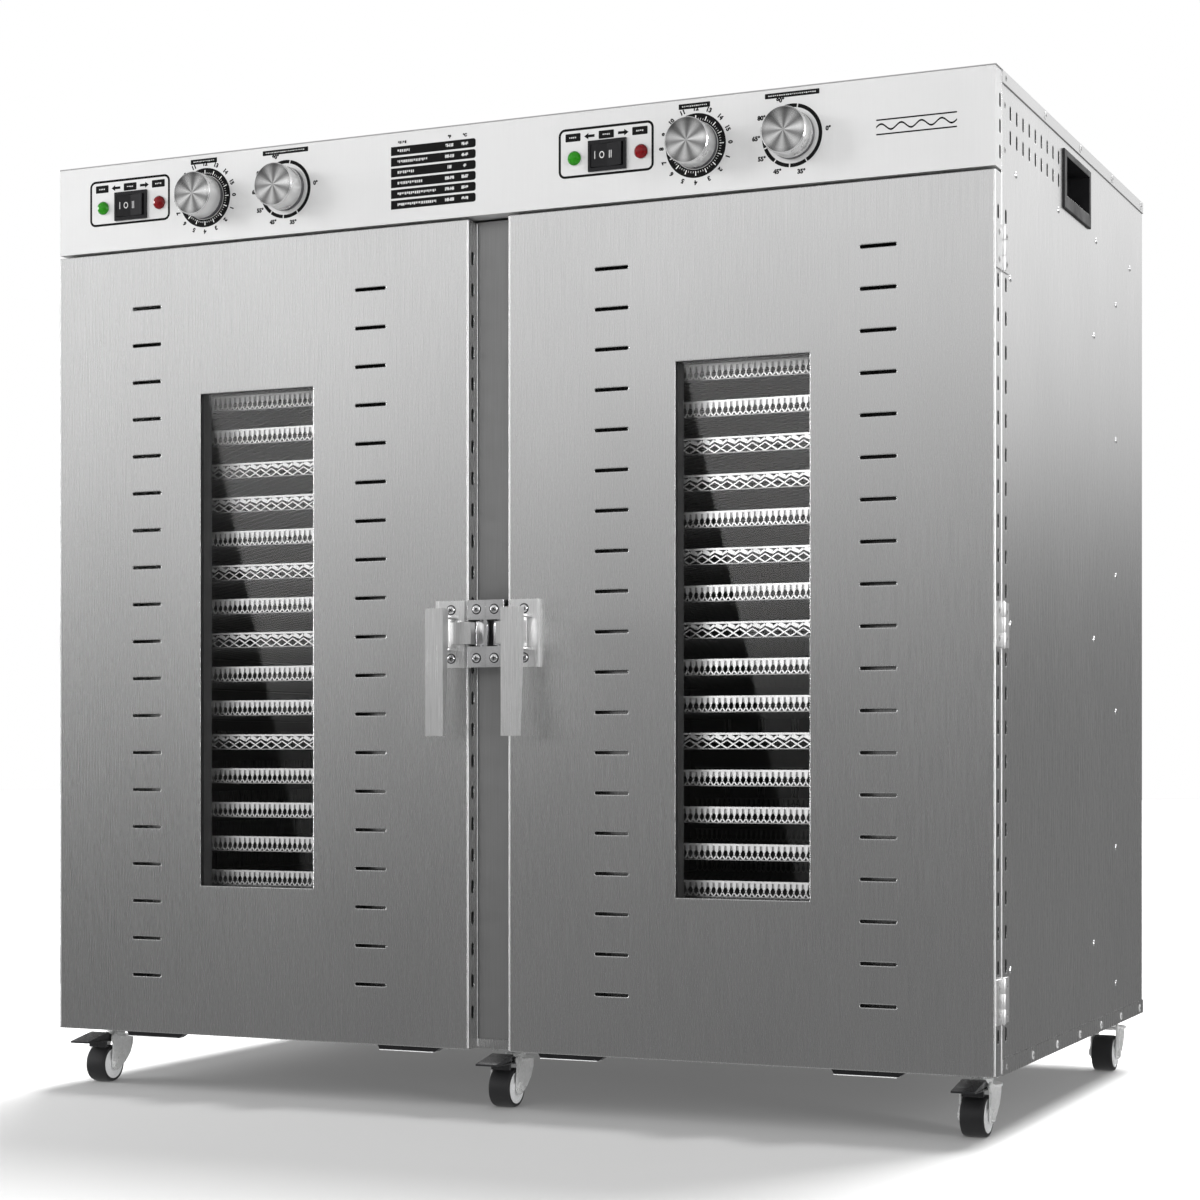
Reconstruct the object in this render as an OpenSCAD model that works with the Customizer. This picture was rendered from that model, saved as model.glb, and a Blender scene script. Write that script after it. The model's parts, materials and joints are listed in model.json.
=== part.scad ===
// Dual-zone cabinet food dehydrator on six swivel casters.
// Sizes are in millimetres. The part's frame has its origin on the floor, under the middle of the
// bounding box, with +X to the right, +Y to the rear and +Z up. Modules are written in cabinet
// coordinates (x from the left side, y back from the door fronts, z up from the cabinet's base)
// and placed by place().

/* [Cabinet] */
// Width of the cabinet over the lid and base lips
cab_w = 894; // [880:1:910]
// Depth of the cabinet from the door fronts to the rear lips
cab_d = 552; // [540:1:600]
// Height of the cabinet from the base pan to the lid
cab_h = 800; // [795:1:805]
// Height of the control fascia at the top front
fascia_h = 80; // [78:1:82]
// Thickness of the sheet steel
sheet = 1.2; // [1:0.1:1.4]

/* [Doors] */
// Thickness of each box-type door
door_t = 18.5; // [17:0.5:19]
// Gap between the two doors, where the centre pillar shows
door_gap = 39; // [38:1:40]
// Width of the glass window seen in each door
window_w = 118; // [100:1:130]
// Height of the glass window seen in each door
window_h = 446; // [400:1:460]

/* [Trays] */
// Number of trays in each zone
tray_count = 20; // [10:1:20]
// Height from one tray to the next
tray_pitch = 31.1; // [30:0.1:31.1]
// Width of a tray
tray_w = 420; // [400:1:424]
// Depth of a tray
tray_d = 410; // [380:1:415]

/* [Casters] */
// Height of a caster, from the floor to the base pan
caster_h = 52; // [52:1:60]
// Diameter of a caster wheel
wheel_d = 34; // [32:1:34]
// Width of a caster wheel
wheel_w = 21; // [18:1:22]

/* [Controls] */
// Diameter of a control knob
knob_d = 39; // [36:1:42]
// How far a knob stands out from the fascia
knob_reach = 22; // [18:1:26]
// Distance between the left and the right group of controls
group_shift = 479; // [475:1:482]

/* [Hidden] */

$fn = 48;
eps = 0.01;
steel = [0.78, 0.79, 0.80];
bright_steel = [0.86, 0.87, 0.88];
inner_steel = [0.62, 0.63, 0.64];
black_plastic = [0.09, 0.09, 0.10];
zinc = [0.72, 0.73, 0.72];
tyre_black = [0.07, 0.07, 0.07];

// The lid and the base pan fold down and up over the panels by one lip thickness
lip = 1;
panel_x = lip;
body_y = door_t + sheet;
back_y = cab_d - lip - sheet;
mid_x = cab_w / 2;
bay_z = cab_h - fascia_h - 3.2;
inner_x = panel_x + sheet;

// Fasteners: pan-headed screws and dome-headed rivets
screw_head_r = 3.5;
screw_head_h = 1.4;
screw_shank_r = 1.6;
rivet_r = 2.8;
rivet_h = 0.9;

// The latch blades reach furthest forward, the rear screws furthest back
blade_front = 32;
rear_reach = cab_d + screw_head_h;
mid_y = (rear_reach - blade_front) / 2;

// Doors
door_x = lip;
door_w = mid_x - door_gap / 2 - door_x;
door_z = 0.5;
door_top = cab_h - fascia_h - 3.1;
door_mid = door_x + door_w / 2;
window_z = 136;
glass_t = 4;
glass_lap = 4;
slot_l = 31;
slot_h = 3;
slot_rows = 19;
slot_z = 53;
slot_pitch = 33.96;
slot_offset = 117;
side_slot_l = 11.4;
side_slot_w = 5;
side_slot_count = 25;
side_slot_z = 32;
side_slot_pitch = 27.2;
hinge_rows = [1, 12, 23];
hinge_h = 36;
hinge_pin_x = -0.9;
hinge_pin_y = body_y - 0.6;
hinge_r = 1.8;
hinge_pin_r = 0.95;
hinge_bore_r = 1;
leaf_t = 1.2;

// Zones
divider_t = 1.2;
zone_left = inner_x;
zone_right = mid_x - divider_t / 2;
zone_mid = (zone_left + zone_right) / 2;
tray_top = 55.8;
tray_rim = 14;
tray_floor = 1.8;
tray_wall = 2.4;
tray_front = 36;
rail_t = 1.2;
rail_drop = 10;
ledge_w = 20;
baffle_y = 462;
fan_z = 359;
fan_r = 100;
fan_y = 486;
fan_depth = 18;
motor_y = 512;
motor_r = 39;
heater_r = 125;
heater_wire_r = 3.5;
heater_y = 474;
shaft_r = 3;
running_gap = 0.05;

// Fascia and controls
fascia_z = cab_h - fascia_h - 0.3;
control_z = 760;
rocker_x = 559.1;
timer_x = 639;
thermostat_x = 723.5;
lamp_offset = 30.7;
rocker_cavity = 15;
rocker_body_w = 32;
rocker_body_h = 22;
rocker_pivot_y = 3;

// Power inlet in the back panel
inlet_x = 90;
inlet_z = 755;

// Latch, measured out from the middle of the gap between the doors
pivot_off = 36;
pivot_y = -12;
latch_low = 330;
latch_high = 388;
latch_screw_z = [338, 380];
pivot_pin_r = 2.5;
roller_off = 8.5;
roller_y = 4;
roller_r = 5.6;

// Casters
caster_x = [26, mid_x, cab_w - 26];
caster_y = [53, 516];
axle_off = 17;
axle_z = wheel_d / 2 - caster_h;
axle_r = 3;
kingpin_r = 4;
fork_gap = wheel_w / 2 + 1;
fork_t = 1.8;
crown_r = 16.5;
pedal_pivot_y = -20;
pedal_pivot_z = -11;
pedal_pin_r = 1.5;

module place() { translate([-mid_x, -mid_y, caster_h]) children(); }
module other_side() { translate([cab_w, 0, 0]) mirror([1, 0, 0]) children(); }
module both_sides() {
    children();
    other_side() children();
}

// A flat plate across the cabinet, with its outline in x and z, from y0 back to y0 + t
module plate_xz(y0, t) { translate([0, y0 + t, 0]) rotate([90, 0, 0]) linear_extrude(t) children(); }
// A flat plate along the cabinet, with its outline in y and z, from x0 to x0 + t
module plate_yz(x0, t) { translate([x0, 0, 0]) rotate([90, 0, 90]) linear_extrude(t) children(); }
// A solid of revolution about an axis that runs forward, from y0
module turned_y(x, y0, z) { translate([x, y0, z]) rotate([90, 0, 0]) rotate_extrude() children(); }
module rod_y(x, y0, z, r, l) { translate([x, y0, z]) rotate([-90, 0, 0]) cylinder(r = r, h = l); }
module rod_x(x0, y, z, r, l) { translate([x0, y, z]) rotate([0, 90, 0]) cylinder(r = r, h = l); }

module slot_h2d(l, w) {
    square([l - w, w], center = true);
    for (s = [-1, 1]) translate([s * (l - w) / 2, 0]) circle(d = w, $fn = 24);
}
module slot_v2d(l, w) { rotate(90) slot_h2d(l, w); }
module box2d(x0, y0, x1, y1) { translate([x0, y0]) square([x1 - x0, y1 - y0]); }

// Pan head on its shank, head up
module screw_form() {
    rotate_extrude() polygon([
        [0, -4], [screw_shank_r, -4], [screw_shank_r, 0], [screw_head_r, 0],
        [screw_head_r, screw_head_h * 0.55], [screw_head_r * 0.7, screw_head_h], [0, screw_head_h]
    ]);
}
module rivet_form() {
    rotate_extrude() polygon([
        [0, -3], [screw_shank_r, -3], [screw_shank_r, 0], [rivet_r, 0],
        [rivet_r * 0.85, rivet_h * 0.6], [rivet_r * 0.5, rivet_h], [0, rivet_h]
    ]);
}
module facing_left() { rotate([0, -90, 0]) children(); }
module facing_front() { rotate([90, 0, 0]) children(); }
module facing_rear() { rotate([-90, 0, 0]) children(); }

// ---------------------------------------------------------------- cabinet shell
function side_row_z(i) = side_slot_z + i * side_slot_pitch;
function at_hinge(i) = len([for (h = hinge_rows) if (h == i) h]) > 0;

module side_slots2d(y) {
    for (i = [0 : side_slot_count - 1])
        if (!at_hinge(i)) translate([y, side_row_z(i)]) slot_v2d(side_slot_l, side_slot_w);
}

module side_panel_form() {
    plate_yz(panel_x, sheet) difference() {
        box2d(body_y, sheet, back_y + sheet, cab_h - sheet);
        side_slots2d(32);
        for (i = [0 : 8], z = [750.9, 770.4]) translate([45.9 + i * 20.24, z]) slot_v2d(11.5, 4.6);
        box2d(225, 734, 318, 778);
    }
    front_flange = 20;
    translate([panel_x, body_y, sheet]) cube([front_flange, sheet, bay_z - sheet - 1]);
    translate([panel_x, back_y - sheet, sheet]) cube([front_flange, sheet, cab_h - 2 * sheet]);
}

module left_side_panel() { color(steel) place() side_panel_form(); }
module right_side_panel() { color(steel) place() other_side() side_panel_form(); }

module top_cover() {
    lip_h = 10.8;
    color(steel) place() {
        translate([0, 0, cab_h - sheet]) cube([cab_w, cab_d, sheet]);
        both_sides() translate([0, body_y, cab_h - lip_h]) cube([lip, cab_d - body_y, lip_h]);
        translate([0, cab_d - lip, cab_h - lip_h]) cube([cab_w, lip, lip_h]);
    }
}

module base_pan() {
    lip_h = 12.9;
    front_lip_h = 8;
    color(steel) place() {
        translate([0, body_y - lip, 0]) cube([cab_w, cab_d - body_y + lip, sheet]);
        both_sides() translate([0, body_y, 0]) cube([lip, cab_d - body_y, lip_h]);
        translate([0, cab_d - lip, 0]) cube([cab_w, lip, lip_h]);
        translate([inner_x, body_y - lip, 0]) cube([cab_w - 2 * inner_x, lip, front_lip_h]);
    }
}

// Rows of intake slots inside a circle, with a solid bar down the middle
module intake2d(x, z, r) {
    for (i = [-5 : 5], s = [-1, 1]) {
        reach = sqrt(r * r - pow(i * 14, 2)) - 6;
        translate([x + s * (reach / 2 + 5), z + i * 14]) slot_h2d(reach, 5);
    }
}

module back_panel() {
    color(steel) place() plate_xz(back_y, sheet) difference() {
        box2d(inner_x, sheet, cab_w - inner_x, cab_h - sheet);
        intake2d(zone_mid, fan_z, fan_r - 10);
        intake2d(cab_w - zone_mid, fan_z, fan_r - 10);
        box2d(inlet_x - 14.3, inlet_z - 10.3, inlet_x + 14.3, inlet_z + 10.3);
    }
}

module center_divider() {
    post_w = 46;
    color(inner_steel) place() {
        translate([mid_x - post_w / 2, body_y + 0.5, sheet]) cube([post_w, sheet, bay_z - sheet]);
        for (s = [-1, 1])
            translate([mid_x + s * (post_w - sheet) / 2 - sheet / 2, body_y + 0.5, sheet])
                cube([sheet, 14, bay_z - sheet]);
        translate([mid_x - divider_t / 2, body_y + 0.5, sheet])
            cube([divider_t, back_y - body_y - 0.5, bay_z - sheet]);
    }
}

module control_bay_floor() {
    color(inner_steel) place()
        translate([inner_x, body_y + 0.5, bay_z])
            cube([cab_w - 2 * inner_x, back_y - sheet - body_y - 0.5, sheet]);
}

module fascia_holes2d() {
    for (shift = [0, -group_shift]) translate([shift, control_z]) {
        translate([rocker_x, 0]) square([rocker_body_w + 0.4, rocker_body_h + 0.4], center = true);
        for (s = [-1, 1]) translate([rocker_x + s * lamp_offset, 0]) circle(r = 5);
        for (x = [timer_x, thermostat_x]) translate([x, 0]) circle(r = 4.5);
    }
}

module control_fascia() {
    top = cab_h - sheet;
    color(bright_steel) place() {
        plate_xz(0, sheet) difference() {
            box2d(panel_x, fascia_z, cab_w - panel_x, top);
            fascia_holes2d();
        }
        both_sides() {
            plate_yz(panel_x, sheet) difference() {
                box2d(0, fascia_z, body_y - 0.2, top);
                for (z = [733.2, 753.7, 774.2]) translate([14, z]) slot_v2d(11.3, 4.6);
            }
            translate([inner_x, sheet, fascia_z + 6]) cube([sheet, 38, 60]);
        }
        translate([panel_x, 0, fascia_z]) cube([cab_w - 2 * panel_x, body_y - 0.2, sheet]);
        translate([panel_x, 0, top - sheet]) cube([cab_w - 2 * panel_x, body_y - 0.2, sheet]);
    }
}

// ---------------------------------------------------------------- tray zones
function tray_z(i) = tray_top - tray_rim + i * tray_pitch;

// Angle runners down the left wall of the zone, each with its flange turned down
module rail_set() {
    for (i = [0 : tray_count - 1]) translate([zone_left, 34, tray_z(i) - rail_t]) {
        cube([ledge_w, 416, rail_t]);
        translate([0, 0, -rail_drop]) cube([rail_t, 416, rail_drop + eps]);
    }
}

module tray_rails() {
    color(inner_steel) place() both_sides() {
        rail_set();
        translate([zone_left + zone_right, 0, 0]) mirror([1, 0, 0]) rail_set();
    }
}

module tray_form(z) {
    translate([zone_mid - tray_w / 2, tray_front, z]) {
        cube([tray_w, tray_d, tray_floor]);
        for (y = [0, tray_d - tray_wall]) translate([0, y, 0]) cube([tray_w, tray_wall, tray_rim]);
    }
}

module tray_stack() { for (i = [0 : tray_count - 1]) tray_form(tray_z(i)); }
module left_trays() { color(bright_steel) place() tray_stack(); }
module right_trays() { color(bright_steel) place() other_side() tray_stack(); }

module baffle_form() {
    plate_xz(baffle_y, sheet) difference() {
        box2d(zone_left, sheet, zone_right, bay_z);
        for (i = [-5 : 5], k = [0 : 8])
            translate([zone_mid + i * 36, 72 + k * 72]) slot_v2d(46, 8);
    }
}
module rear_baffles() { color(inner_steel) place() both_sides() baffle_form(); }

// A sheathed rod bent into an open ring around the fan, with two legs to the back panel
module heater_form() {
    opening = 24;
    translate([zone_mid, heater_y, fan_z]) {
        rotate([90, 0, 0]) rotate([0, 0, -90 + opening / 2])
            rotate_extrude(angle = 360 - opening) translate([heater_r, 0]) circle(r = heater_wire_r);
        for (s = [-1, 1])
            rotate([0, s * opening / 2, 0]) translate([0, 0, -heater_r]) rotate([-90, 0, 0])
                cylinder(r = heater_wire_r - 0.2, h = back_y - heater_y);
    }
}
module heating_elements() { color([0.35, 0.34, 0.33]) place() both_sides() heater_form(); }

module motor_form() {
    difference() {
        union() {
            rod_y(zone_mid, motor_y, fan_z, motor_r, back_y - motor_y);
            rod_y(zone_mid, motor_y - 5, fan_z, 10, 6);
        }
        rod_y(zone_mid, motor_y - 6, fan_z, shaft_r + running_gap, 24);
    }
}
module fan_motors() { color([0.3, 0.3, 0.32]) place() both_sides() motor_form(); }

module fan_form() {
    hub_r = 20;
    blade_count = 5;
    rod_y(zone_mid, fan_y, fan_z, hub_r, fan_depth);
    rod_y(zone_mid, fan_y, fan_z, shaft_r, motor_y + 17 - fan_y);
    for (i = [0 : blade_count - 1])
        translate([zone_mid, fan_y + fan_depth / 2, fan_z]) rotate([0, i * 360 / blade_count, 0])
            translate([0, 0, hub_r - 2]) rotate([0, 0, 20])
                translate([-28, -0.6, 0]) cube([56, 1.2, fan_r - hub_r - 4]);
}
module left_fan() { color([0.75, 0.75, 0.76]) place() fan_form(); }
module right_fan() { color([0.75, 0.75, 0.76]) place() other_side() fan_form(); }

// ---------------------------------------------------------------- fasteners
module side_screws() {
    for (y = [29, 157, 285, 413, 541])
        translate([0, y, cab_h - 5.2]) facing_left() screw_form();
    for (i = [0 : 6]) translate([0, 31.5 + i * 84, 5.8]) facing_left() screw_form();
    for (z = [737.8, 773.6]) translate([panel_x, 29, z]) facing_left() screw_form();
    for (s = [-1, 1]) translate([panel_x - leaf_t, hinge_pin_y + 12, 0])
        for (i = hinge_rows) translate([0, 0, side_row_z(i) + s * 11]) facing_left() screw_form();
}

module cabinet_screws() {
    color(bright_steel) place() {
        both_sides() side_screws();
        for (i = [0 : 6], z = [5.8, cab_h - 5.2])
            translate([30 + i * (cab_w - 60) / 6, cab_d, z]) facing_rear() screw_form();
        for (s = [-1, 1], z = latch_screw_z)
            translate([mid_x + s * roller_off, -6, z]) facing_front() screw_form();
    }
}

// A row of rivets below the control bay and three columns of them down the panel
module side_rivets() {
    spots = concat(
        [for (i = [0 : 3]) [64 + i * 143.4, 725]],
        [for (k = [0 : 5]) [433, 39 + k * 128.2]],
        [for (k = [0 : 2]) [342, 83 + k * 277]],
        [for (k = [0 : 2]) [46, 82 + k * 278]]
    );
    color(bright_steel) place() both_sides()
        for (p = spots) translate([panel_x, p[0], p[1]]) facing_left() rivet_form();
}

// ---------------------------------------------------------------- cabinet fittings
module side_grips() {
    proud = 2.2;
    depth = 22;
    color(black_plastic) place() both_sides() difference() {
        union() {
            plate_yz(panel_x - proud, proud) box2d(221, 730, 322, 782);
            plate_yz(panel_x - eps, depth) box2d(225.3, 734.3, 317.7, 777.7);
        }
        translate([panel_x - proud - 1, 230, 742]) cube([depth + proud - 1, 86, 34]);
    }
}

module power_inlet() {
    color(black_plastic) place() {
        difference() {
            union() {
                translate([inlet_x - 25, back_y + sheet, inlet_z - 14]) cube([50, 1, 28]);
                translate([inlet_x - 14, back_y - 20, inlet_z - 10]) cube([28, 22, 20]);
            }
            translate([inlet_x - 12, back_y - 15, inlet_z - 8]) cube([24, 20, 16]);
        }
        for (p = [[-7, -2], [0, 3], [7, -2]])
            translate([inlet_x + p[0] - 1, back_y - 16, inlet_z + p[1] - 2]) cube([2, 12, 4]);
    }
}

module rocker_housing_form() {
    difference() {
        union() {
            translate([-17.4, -2, -13]) cube([34.8, 2, 26]);
            translate([-rocker_body_w / 2, -1, -rocker_body_h / 2])
                cube([rocker_body_w, 29, rocker_body_h]);
        }
        translate([-rocker_cavity, -3, -10]) cube([2 * rocker_cavity, 19, 20]);
        translate([0, rocker_pivot_y, -10.9]) cylinder(r = 1.5 + running_gap, h = 21.8);
    }
}
module rocker_housings() {
    color(black_plastic) place()
        for (shift = [0, -group_shift]) translate([rocker_x + shift, 0, control_z]) rocker_housing_form();
}

module rocker_form() {
    translate([0, 0, -9.7]) linear_extrude(19.4) polygon([
        [-13.6, -3.6], [0, -1.4], [13.6, -3.6], [13.6, 3], [4, 9], [-4, 9], [-13.6, 3]
    ]);
    translate([0, rocker_pivot_y, -10.8]) cylinder(r = 1.5, h = 21.6);
}
module left_rocker() {
    color(black_plastic) place() translate([rocker_x - group_shift, 0, control_z]) rocker_form();
}
module right_rocker() {
    color(black_plastic) place() translate([rocker_x, 0, control_z]) rocker_form();
}

module lamp_form(x) {
    turned_y(x, 12, control_z) polygon([
        [0, 0], [4.9, 0], [4.9, 12], [6, 12], [6, 13.2], [4.6, 15.2], [2.4, 16.2], [0, 16.4]
    ]);
}
module green_lamps() {
    color([0.1, 0.65, 0.2]) place()
        for (shift = [0, -group_shift]) lamp_form(rocker_x - lamp_offset + shift);
}
module red_lamps() {
    color([0.8, 0.1, 0.08]) place()
        for (shift = [0, -group_shift]) lamp_form(rocker_x + lamp_offset + shift);
}

// Timer and thermostat bodies behind the fascia, each with the bore that its knob's shaft turns in
module unit_form(x, w, h, d) {
    difference() {
        translate([x - w / 2, sheet, control_z - h / 2]) cube([w, d, h]);
        rod_y(x, 0, control_z, shaft_r + running_gap, 22);
    }
}
module control_units() {
    color([0.8, 0.8, 0.78]) place() for (shift = [0, -group_shift]) {
        unit_form(timer_x + shift, 44, 44, 36);
        unit_form(thermostat_x + shift, 36, 30, 26);
    }
}

module knob_form(x) {
    back = -2.4;
    turned_y(x, back, control_z) polygon([
        [0, 0], [knob_d / 2, 0], [knob_d / 2 - 0.6, knob_reach + back - 1.2],
        [knob_d / 2 - 1.8, knob_reach + back], [0, knob_reach + back]
    ]);
    rod_y(x, back - 1, control_z, shaft_r, 22);
}
module left_timer_knob() { color(bright_steel) place() knob_form(timer_x - group_shift); }
module right_timer_knob() { color(bright_steel) place() knob_form(timer_x); }
module left_thermostat_knob() { color(bright_steel) place() knob_form(thermostat_x - group_shift); }
module right_thermostat_knob() { color(bright_steel) place() knob_form(thermostat_x); }

// ---------------------------------------------------------------- doors
module door_form() {
    w0 = door_mid - window_w / 2;
    w1 = door_mid + window_w / 2;
    top_z = window_z + window_h;
    wall = 1.2;
    edge_x = door_x + door_w;
    lap = glass_lap + 0.2;
    plate_xz(0, sheet) difference() {
        box2d(door_x, door_z, edge_x, door_top);
        box2d(w0, window_z, w1, top_z);
        for (i = [0 : slot_rows - 1], s = [-1, 1])
            translate([door_mid + s * slot_offset, slot_z + i * slot_pitch]) slot_h2d(slot_l, slot_h);
    }
    plate_xz(door_t - sheet, sheet) difference() {
        box2d(door_x, door_z, edge_x, door_top);
        box2d(w0, window_z, w1, top_z);
    }
    for (x = [door_x, edge_x - sheet]) plate_yz(x, sheet) difference() {
        box2d(0, door_z, door_t, door_top);
        for (i = [0 : side_slot_count - 1])
            if (x != door_x || !at_hinge(i))
                translate([8.5, side_row_z(i)]) slot_v2d(side_slot_l, side_slot_w);
    }
    for (z = [door_z, door_top - sheet]) translate([door_x, 0, z]) cube([door_w, door_t, sheet]);
    plate_xz(sheet - eps, glass_t + 0.4) difference() {
        box2d(w0 - lap - wall, window_z - lap - wall, w1 + lap + wall, top_z + lap + wall);
        box2d(w0 - lap, window_z - lap, w1 + lap, top_z + lap);
    }
    plate_xz(sheet + glass_t + 0.3, door_t - glass_t - 2 * sheet) difference() {
        box2d(w0 - lap - wall, window_z - lap - wall, w1 + lap + wall, top_z + lap + wall);
        box2d(w0, window_z, w1, top_z);
    }
}
module left_door() { color(steel) place() door_form(); }
module right_door() { color(steel) place() other_side() door_form(); }

module window_form() {
    translate([door_mid - window_w / 2 - glass_lap, sheet + 0.1, window_z - glass_lap])
        cube([window_w + 2 * glass_lap, glass_t, window_h + 2 * glass_lap]);
}
module left_window() { color([0.12, 0.13, 0.14, 0.5]) place() window_form(); }
module right_window() { color([0.12, 0.13, 0.14, 0.5]) place() other_side() window_form(); }

module door_screws_form() {
    for (i = hinge_rows, s = [-1, 1])
        translate([panel_x - leaf_t, 8, side_row_z(i) + s * 11]) facing_left() screw_form();
    for (z = latch_screw_z) translate([mid_x - pivot_off + 1, -2, z]) facing_front() screw_form();
}
module left_door_screws() { color(bright_steel) place() door_screws_form(); }
module right_door_screws() { color(bright_steel) place() other_side() door_screws_form(); }

// ---------------------------------------------------------------- hinges
module knuckle(z0, z1) {
    difference() {
        translate([hinge_pin_x, hinge_pin_y, z0]) cylinder(r = hinge_r, h = z1 - z0);
        translate([hinge_pin_x, hinge_pin_y, z0 - 1]) cylinder(r = hinge_bore_r, h = z1 - z0 + 2);
    }
}
module leaf(y0, y1, z0, z1) {
    difference() {
        translate([panel_x - leaf_t, y0, z0]) cube([leaf_t, y1 - y0, z1 - z0]);
        translate([hinge_pin_x, hinge_pin_y, z0 - 1]) cylinder(r = hinge_r - 0.3, h = z1 - z0 + 2);
    }
}

module door_leaf_form() {
    for (i = hinge_rows) translate([0, 0, side_row_z(i)]) {
        knuckle(-6, 6);
        leaf(1, body_y - 2.3, -hinge_h / 2, hinge_h / 2);
        leaf(body_y - 2.4, body_y - 1.5, -6, 6);
    }
}
module left_door_hinge_leaves() { color(bright_steel) place() door_leaf_form(); }
module right_door_hinge_leaves() { color(bright_steel) place() other_side() door_leaf_form(); }

module cabinet_leaf_form() {
    for (i = hinge_rows) translate([0, 0, side_row_z(i)]) {
        knuckle(6.3, hinge_h / 2);
        knuckle(-hinge_h / 2, -6.3);
        leaf(body_y + 1.6, body_y + 18, -hinge_h / 2, hinge_h / 2);
        for (z = [[6.3, hinge_h / 2], [-hinge_h / 2, -6.3]]) leaf(body_y + 0.3, body_y + 1.7, z[0], z[1]);
        translate([hinge_pin_x, hinge_pin_y, -hinge_h / 2 - 1]) cylinder(r = hinge_pin_r, h = hinge_h + 2);
    }
}
module cabinet_hinge_leaves() { color(bright_steel) place() both_sides() cabinet_leaf_form(); }

// ---------------------------------------------------------------- latch
// Catch channels on the centre pillar, each with a window over its roller
module keeper_form() {
    x0 = mid_x + 0.1;
    w = 16.9;
    back = body_y + 0.5;
    wall = 1.5;
    win_low = 348;
    win_high = 371;
    difference() {
        translate([x0, -6, latch_low]) cube([w, back + 6, latch_high - latch_low]);
        translate([x0 + wall, -6 + wall, latch_low - 1])
            cube([w - 2 * wall, back + 6, latch_high - latch_low + 2]);
        translate([x0 + wall, -7, win_low]) cube([w, 20, win_high - win_low]);
    }
    for (z = [win_low - 2, win_high + 0.5]) difference() {
        translate([x0 + wall - eps, -6 + wall - eps, z]) cube([w - 2 * wall + 2 * eps, 17, wall]);
        translate([mid_x + roller_off, roller_y, z - 1]) cylinder(r = 2.05, h = 4);
    }
}
module roller_form() {
    translate([mid_x + roller_off, roller_y, 349]) cylinder(r = roller_r, h = 21);
    translate([mid_x + roller_off, roller_y, 344]) cylinder(r = 2, h = 31);
}
module latch_keepers() {
    color(bright_steel) place() both_sides() {
        keeper_form();
        roller_form();
    }
}

// The right-hand bracket; its plate lies on the door and its two ears hold the pivot pin
module bracket_form() {
    px = mid_x + pivot_off;
    translate([mid_x + 22, -2, latch_low]) cube([27, 2, latch_high - latch_low]);
    translate([mid_x + 47, -4, latch_low]) cube([2, 4, latch_high - latch_low]);
    for (z = [344.5, 372.5]) translate([0, 0, z]) linear_extrude(2) {
        translate([px, pivot_y]) circle(r = 7);
        box2d(px - 7, pivot_y, px + 7, -1);
    }
    translate([px, pivot_y, 343.5]) cylinder(r = pivot_pin_r, h = 32);
}
module left_latch_bracket() { color(bright_steel) place() other_side() bracket_form(); }
module right_latch_bracket() { color(bright_steel) place() bracket_form(); }

// The right-hand lever: barrel on the pin, jaw toward the roller, web and hanging blade
module lever_form() {
    px = mid_x + pivot_off;
    half_w = 8.5;
    skin = 1.6;
    lever_low = 271;
    difference() {
        union() {
            translate([px, pivot_y, 347.3]) cylinder(r = 6, h = 24.4);
            translate([mid_x + 12, -10, 350]) cube([pivot_off - 12, 4, 19]);
            translate([mid_x + 12, -10, 350]) cube([3, 8.5, 19]);
            translate([px - 5, -blade_front + skin - eps, 350]) cube([11, blade_front - skin - 12, 19]);
        }
        translate([px, pivot_y, 346]) cylinder(r = pivot_pin_r + running_gap, h = 27);
    }
    plate_xz(-blade_front, skin) {
        box2d(px - half_w, lever_low, px + half_w, 380);
    }
    for (x = [px - half_w, px + half_w - skin]) plate_yz(x, skin)
        polygon([[-blade_front, lever_low], [-blade_front + 4, lever_low], [-22, 352], [-22, 380], [-blade_front, 380]]);
}
module left_latch_lever() { color(bright_steel) place() other_side() lever_form(); }
module right_latch_lever() { color(bright_steel) place() lever_form(); }

// ---------------------------------------------------------------- casters
// Caster parts are written about the kingpin, with z = 0 at the base pan and the wheel forward
module caster_at(i, j) { place() translate([caster_x[i], caster_y[j], 0]) children(); }

module caster_plate_form() {
    translate([-19, -19, -2]) cube([38, 38, 2]);
    translate([0, 0, -13]) cylinder(r = kingpin_r, h = 12);
    translate([0, 0, -14.2]) cylinder(r = 6.5, h = 1.4);
    for (x = [-13.5, 13.5], y = [-13.5, 13.5]) translate([x, y, -4.2]) cylinder(r = 3.2, h = 2.3, $fn = 6);
}
module caster_plates() {
    color(steel) for (i = [0 : 2], j = [0, 1]) caster_at(i, j) caster_plate_form();
}

module fork_form() {
    leg_out = fork_gap + fork_t;
    crown_z = -12.4;
    difference() {
        union() {
            translate([0, 0, crown_z]) cylinder(r = crown_r, h = fork_t);
            translate([0, 0, crown_z + 1.7]) cylinder(r = 9, h = 4);
        }
        translate([0, 0, -14]) cylinder(r = kingpin_r + running_gap, h = 12);
    }
    for (s = [-1, 1]) plate_yz(s > 0 ? fork_gap : -leg_out, fork_t) {
        polygon([[-22, -10.6], [8, -10.6], [9.5, -14], [9, -19], [5, -27], [-3, -34.5],
                 [-12, -40], [-axle_off - 5.8, axle_z - 1], [-22, -20]]);
        polygon([[-10, -10.6], [-10, -22], [-axle_off + 0.5, -22], [-21, -15], [-20, -8]]);
        translate([-axle_off, axle_z]) circle(r = 6);
        translate([pedal_pivot_y, pedal_pivot_z]) circle(r = 4);
    }
    rod_x(-leg_out - 1.5, -axle_off, axle_z, axle_r, 2 * leg_out + 3);
    for (x = [-leg_out - 1.6, leg_out]) translate([x, -axle_off, axle_z]) rotate([0, 90, 0])
        cylinder(r = 4.6, h = 1.6, $fn = 6);
    rod_x(-leg_out, pedal_pivot_y, pedal_pivot_z, pedal_pin_r, 2 * leg_out);
}

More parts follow.
